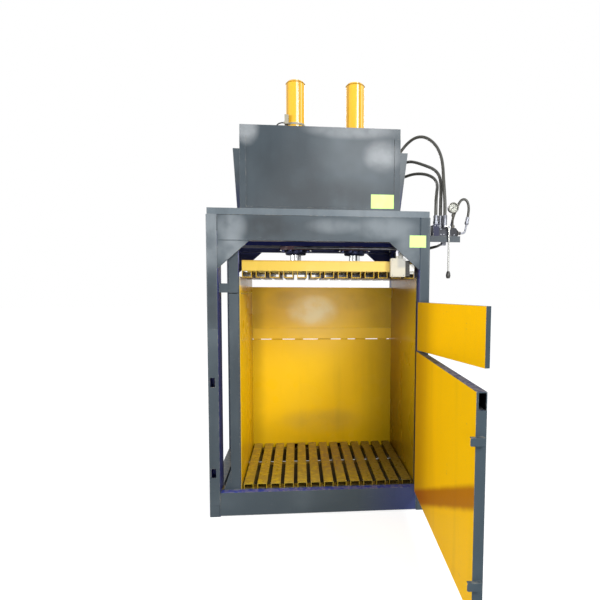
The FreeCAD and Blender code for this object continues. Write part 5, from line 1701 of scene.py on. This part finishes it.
@dataclass
class SwitchGroup:
    """Switch box with its bent sleeve, bracket and limit switch."""

    box_low: Point = (0.458, -0.540, 1.563)
    box_high: Point = (0.555, -0.502, 1.683)
    screw_inset: float = 0.011
    screw_radius: float = 0.0035
    sleeve_route: tuple[Point, ...] = (
        (0.504, -0.520, 1.700), (0.503, -0.520, 1.712), (0.502, -0.520, 1.722),
        (0.505, -0.521, 1.731), (0.510, -0.522, 1.739), (0.514, -0.522, 1.747),
    )
    sleeve_radii: tuple[float, ...] = (0.0082, 0.0086, 0.0086, 0.0084, 0.0080, 0.0074)
    rib_count: int = 9
    rib_pitch: float = 0.0105
    rib_height: float = 0.0045
    first_rib: Point = (0.5585, -0.5322, 1.578)
    rib_reach: tuple[float, float] = (0.5835, -0.5295)

    def dress(self, dresser: Dresser) -> None:
        """Put the finishes on.

        Args:
            dresser: What covers the nodes.
        """
        # Painted grey shadow over the box's upper right.
        painted_shadow = Zone("8f8f8c", low_corner(x=0.505, z=1.625), strength=0.75, soft=0.012, ragged=0.02)
        dresser.cover("switch_box", Moulding(
            "box_cream", "b8b2a0", "958c76", 0.5, 0.3, 500.0, 0.15, (painted_shadow,),
        ))
        dresser.cover("switch_bracket", Metal("bracket_zinc", "a5a49e", "6b665c", 0.4, 0.6))
        head = Zone("dcdad2", low_corner(x=0.5845, z=1.599), high_corner(z=1.646))
        dresser.cover("limit_switch", Moulding(
            "switch_black", "1a1917", "4a463d", 0.45, 0.35, 500.0, 0.2, (head,),
        ))

    def build(self) -> None:
        """Build the lid's screws, the sleeve and the switch's ribs."""
        x0, y0, z0 = self.box_low
        x1, _, z1 = self.box_high
        screws = Shape()
        for x in (x0 + self.screw_inset, x1 - self.screw_inset):
            for z in (z0 + self.screw_inset, z1 - self.screw_inset):
                screws.screw((x, y0 + 0.0002, z), FORWARD, self.screw_radius)
        screws.finish("box_screws", ZINC, "zinc_steel")
        sleeve = Shape()
        route = [Vector(place) for place in self.sleeve_route]
        sleeve.swept(route, self.sleeve_radii.__getitem__, sides=18)
        white = Moulding("sleeve_white", "e8e6f0", "b5b2bd", 0.25, 0.2)
        sleeve.finish("box_sleeve", white, "cream_plastic")
        ribs = Shape()
        x, y, first = self.first_rib
        for i in range(self.rib_count):
            level = first + i * self.rib_pitch
            ribs.block((x, y, level), (*self.rib_reach, level + self.rib_height), 0.0006, 1)
        black = Moulding("rib_black", "23211e", "5a564b", 0.4, 0.4)
        ribs.finish("switch_ribs", black, "black_plastic")


# ------------------------------------------------------------------ welds and stickers


@dataclass
class Welds:
    """Weld beads of the frame, the valve's shelf and the chamber's back.

    mirrored holds (y, z) of both ends and the radius of the beads at both posts' inner edges,
    single the ends and the radius of the others, and stitches (start, length) along the back.
    """

    post_edge: float = 0.645
    mirrored: tuple[tuple[float, float, float, float, float], ...] = (
        (-0.5475, 0.010, -0.5475, 0.156, 0.0042),
        (-0.5435, 0.1602, -0.490, 0.1602, 0.0035),
        (-0.5475, 1.842, -0.5475, 1.940, 0.0042),
        (-0.5465, 1.612, -0.5465, 1.742, 0.0035),
    )
    single: tuple[tuple[Point, Point, float], ...] = (
        ((-0.640, -0.5497, 1.785), (-0.452, -0.5497, 1.785), 0.0022),
        ((-0.583, -0.500, 0.1605), (-0.583, -0.440, 0.1605), 0.0035),
        ((-0.523, -0.500, 0.1605), (-0.523, -0.440, 0.1605), 0.0035),
        ((-0.583, -0.500, 0.1605), (-0.523, -0.500, 0.1605), 0.0035),
        ((0.7155, -0.4905, 1.750), (0.7155, -0.4905, 1.832), 0.0035),
        ((0.7155, -0.3995, 1.750), (0.7155, -0.3995, 1.832), 0.0035),
    )
    stitch_line: tuple[float, float, float] = (0.3895, 1.069, 0.0036)
    stitches: tuple[tuple[float, float], ...] = (
        (-0.505, 0.06), (-0.36, 0.09), (-0.17, 0.07), (0.02, 0.11), (0.21, 0.06), (0.33, 0.09),
        (0.52, 0.08),
    )

    def build(self) -> None:
        """Build the beads of each body."""
        beads = Shape()
        for x in (-self.post_edge, self.post_edge):
            for y0, z0, y1, z1, radius in self.mirrored:
                beads.bead((x, y0, z0), (x, y1, z1), radius)
        for start, end, radius in self.single:
            beads.bead(start, end, radius)
        beads.finish("frame_welds", replace(SLATE, name="bead_slate", wear=0.25), "grey_paint")
        stitches = Shape()
        y, z, radius = self.stitch_line
        for x, length in self.stitches:
            stitches.bead((x, y, z), (x + length, y, z), radius)
        paint = replace(YELLOW, name="stitch_yellow", colour="c79a10", wear=0.6)
        stitches.finish("back_seam_welds", paint, "yellow_paint")


@dataclass
class Stickers:
    """Two blank pale stickers."""

    thick: float = 0.0004

    def build(self) -> None:
        """Build both stickers."""
        paper = Moulding("sticker_paper", "c2ea84", "d6f2a8", 0.6, 0.7, 300.0, 0.1)
        for name, low, high, front in (
            ("guard_sticker", (0.326, 2.000), (0.4745, 2.089), -0.5302),
            ("header_sticker", (0.578, 1.753), (0.686, 1.830), -0.5502),
        ):
            shape = Shape()
            shape.block((low[0], front - self.thick, low[1]), (high[0], front, high[1]), 0.00012, 1)
            shape.finish(name, paper)


# ------------------------------------------------------------------ studio


@dataclass(frozen=True)
class Lamp:
    """A soft rectangular lamp: its place, what it looks at, its sides and its power in watts."""

    name: str
    place: Point
    aim: Point
    width: float
    height: float
    power: float

    def build(self) -> None:
        """Hang the lamp."""
        data = bpy.data.lights.new(self.name, "AREA")
        data.shape = "RECTANGLE"
        data.size, data.size_y = self.width, self.height
        data.energy = self.power
        lamp = placed(self.name, data)
        lamp.location = self.place
        lamp.rotation_euler = (
            Vector(self.aim) - Vector(self.place)
        ).to_track_quat("-Z", "Y").to_euler()


LAMPS = (
    Lamp("key", (2.9, -5.0, 4.2), (0.0, -0.2, 1.2), 1.6, 1.6, 270.0),
    Lamp("cloud", (0.93, -6.5, 3.96), (0.0, -0.5, 2.0), 1.1, 0.8, 60.0),
    Lamp("window_left", (-0.87, -6.4, 2.5), (-0.3, -0.5, 1.9), 0.5, 0.35, 14.0),
    Lamp("window_right", (0.25, -6.4, 2.5), (0.0, -0.5, 1.9), 0.5, 0.35, 14.0),
    Lamp("low", (0.18, -5.0, 1.09), (0.0, 0.4, 1.0), 0.6, 0.4, 62.0),
    Lamp("left", (-5.0, -1.9, 2.6), (0.5, -1.0, 1.0), 2.0, 2.0, 180.0),
    Lamp("rear", (0.8, 5.2, 3.8), (0.0, 0.0, 1.5), 2.6, 2.6, 140.0),
)


@dataclass
class Studio:
    """Floor, world, lamps and the camera at the photograph's viewpoint."""

    place: Point = (-0.1428, -3.8248, 1.4786)
    yaw: float = 0.0935
    pitch: float = -0.0725
    roll: float = 0.0048
    focal: float = 509.38
    centre: tuple[float, float] = (345.62, 326.62)
    image: float = 600.0
    sensor: float = 36.0
    sight: float = 200.0
    sky: Point = (0.93, 0.97, 1.0)
    sky_light: float = 0.38
    floor_radius: float = 40.0
    floor_gap: float = 0.0005
    floor_tone: float = 0.42
    glow: tuple[float, float] = (0.74, 0.90)
    glow_reach: tuple[float, float] = (2.0, 9.0)

    def build(self) -> None:
        """Set up everything that isn't part of the object."""
        self.build_camera()
        self.build_world()
        self.build_floor()
        for lamp in LAMPS:
            lamp.build()
        bpy.context.scene.view_settings.view_transform = "Standard"

    def build_camera(self) -> None:
        """The camera, with its direction, roll, lens and small shift."""
        data = bpy.data.cameras.new("camera")
        data.sensor_width = self.sensor
        data.lens = self.focal / self.image * self.sensor
        data.shift_x = (self.image / 2 - self.centre[0]) / self.image
        data.shift_y = (self.centre[1] - self.image / 2) / self.image
        data.clip_end = self.sight
        camera = placed("camera", data)
        forward = Vector((
            math.sin(self.yaw) * math.cos(self.pitch), math.cos(self.yaw) * math.cos(self.pitch),
            math.sin(self.pitch),
        ))
        level = Vector((math.cos(self.yaw), -math.sin(self.yaw), 0.0))
        top = level.cross(forward)
        side = level * math.cos(self.roll) + top * math.sin(self.roll)
        top = top * math.cos(self.roll) - level * math.sin(self.roll)
        turn = Matrix((side, top, -forward)).transposed()
        camera.matrix_world = Matrix.Translation(self.place) @ turn.to_4x4()
        bpy.context.scene.camera = camera

    def build_world(self) -> None:
        """A world that is white to look at and softer as a light."""
        world = bpy.data.worlds.new("studio")
        bpy.context.scene.world = world
        world.use_nodes = True
        graph = Graph(world.node_tree)
        light = graph.node("ShaderNodeBackground", inputs={0: self.sky, 1: self.sky_light})
        white = graph.node("ShaderNodeBackground", inputs={0: WHITE, 1: 1.0})
        mixed = graph.node(
            "ShaderNodeMixShader",
            inputs={0: graph.seen(), 1: light.outputs[0], 2: white.outputs[0]},
        )
        graph.node("ShaderNodeOutputWorld", inputs={0: mixed.outputs[0]})

    def build_floor(self) -> None:
        """A wide pale floor that looks white but keeps the object's shadow."""
        shape = bmesh.new()
        bmesh.ops.create_circle(shape, cap_ends=True, segments=64, radius=self.floor_radius)
        data = bpy.data.meshes.new("floor")
        shape.to_mesh(data)
        shape.free()
        floor = placed("floor", data)
        floor.location.z = -self.floor_gap
        graph = Surface("floor_pale")
        near, far = self.glow
        spread = graph.away_from((0.0, 0.0, 0.0)).smooth(*self.glow_reach)
        matt = graph.node("ShaderNodeBsdfDiffuse", inputs={0: (self.floor_tone,) * 3})
        glow = graph.node(
            "ShaderNodeEmission",
            inputs={0: WHITE, 1: (spread * (far - near) + near) * graph.seen()},
        )
        both = graph.node("ShaderNodeAddShader", inputs={0: matt.outputs[0], 1: glow.outputs[0]})
        graph.node("ShaderNodeOutputMaterial", inputs={0: both.outputs[0]})
        data.materials.append(graph.material)


def main() -> None:
    """Build the scene in order and note each piece."""
    logging.basicConfig(level=logging.INFO, format="%(message)s")
    Studio().build()
    Hoses().build()
    dresser = Dresser()
    press, valve, switch = Press(), ValveGroup(), SwitchGroup()
    for part in (Framework(), Chamber(), press, Doors(), Cover(), PowerUnit(), valve, switch):
        part.dress(dresser)
    for pipe in ("rod_side_pipe", "cap_side_pipe"):
        dresser.cover(pipe, ZINC)
    for part in (press, valve, switch, Welds(), Stickers()):
        part.build()


if __name__ == "__main__":
    main()
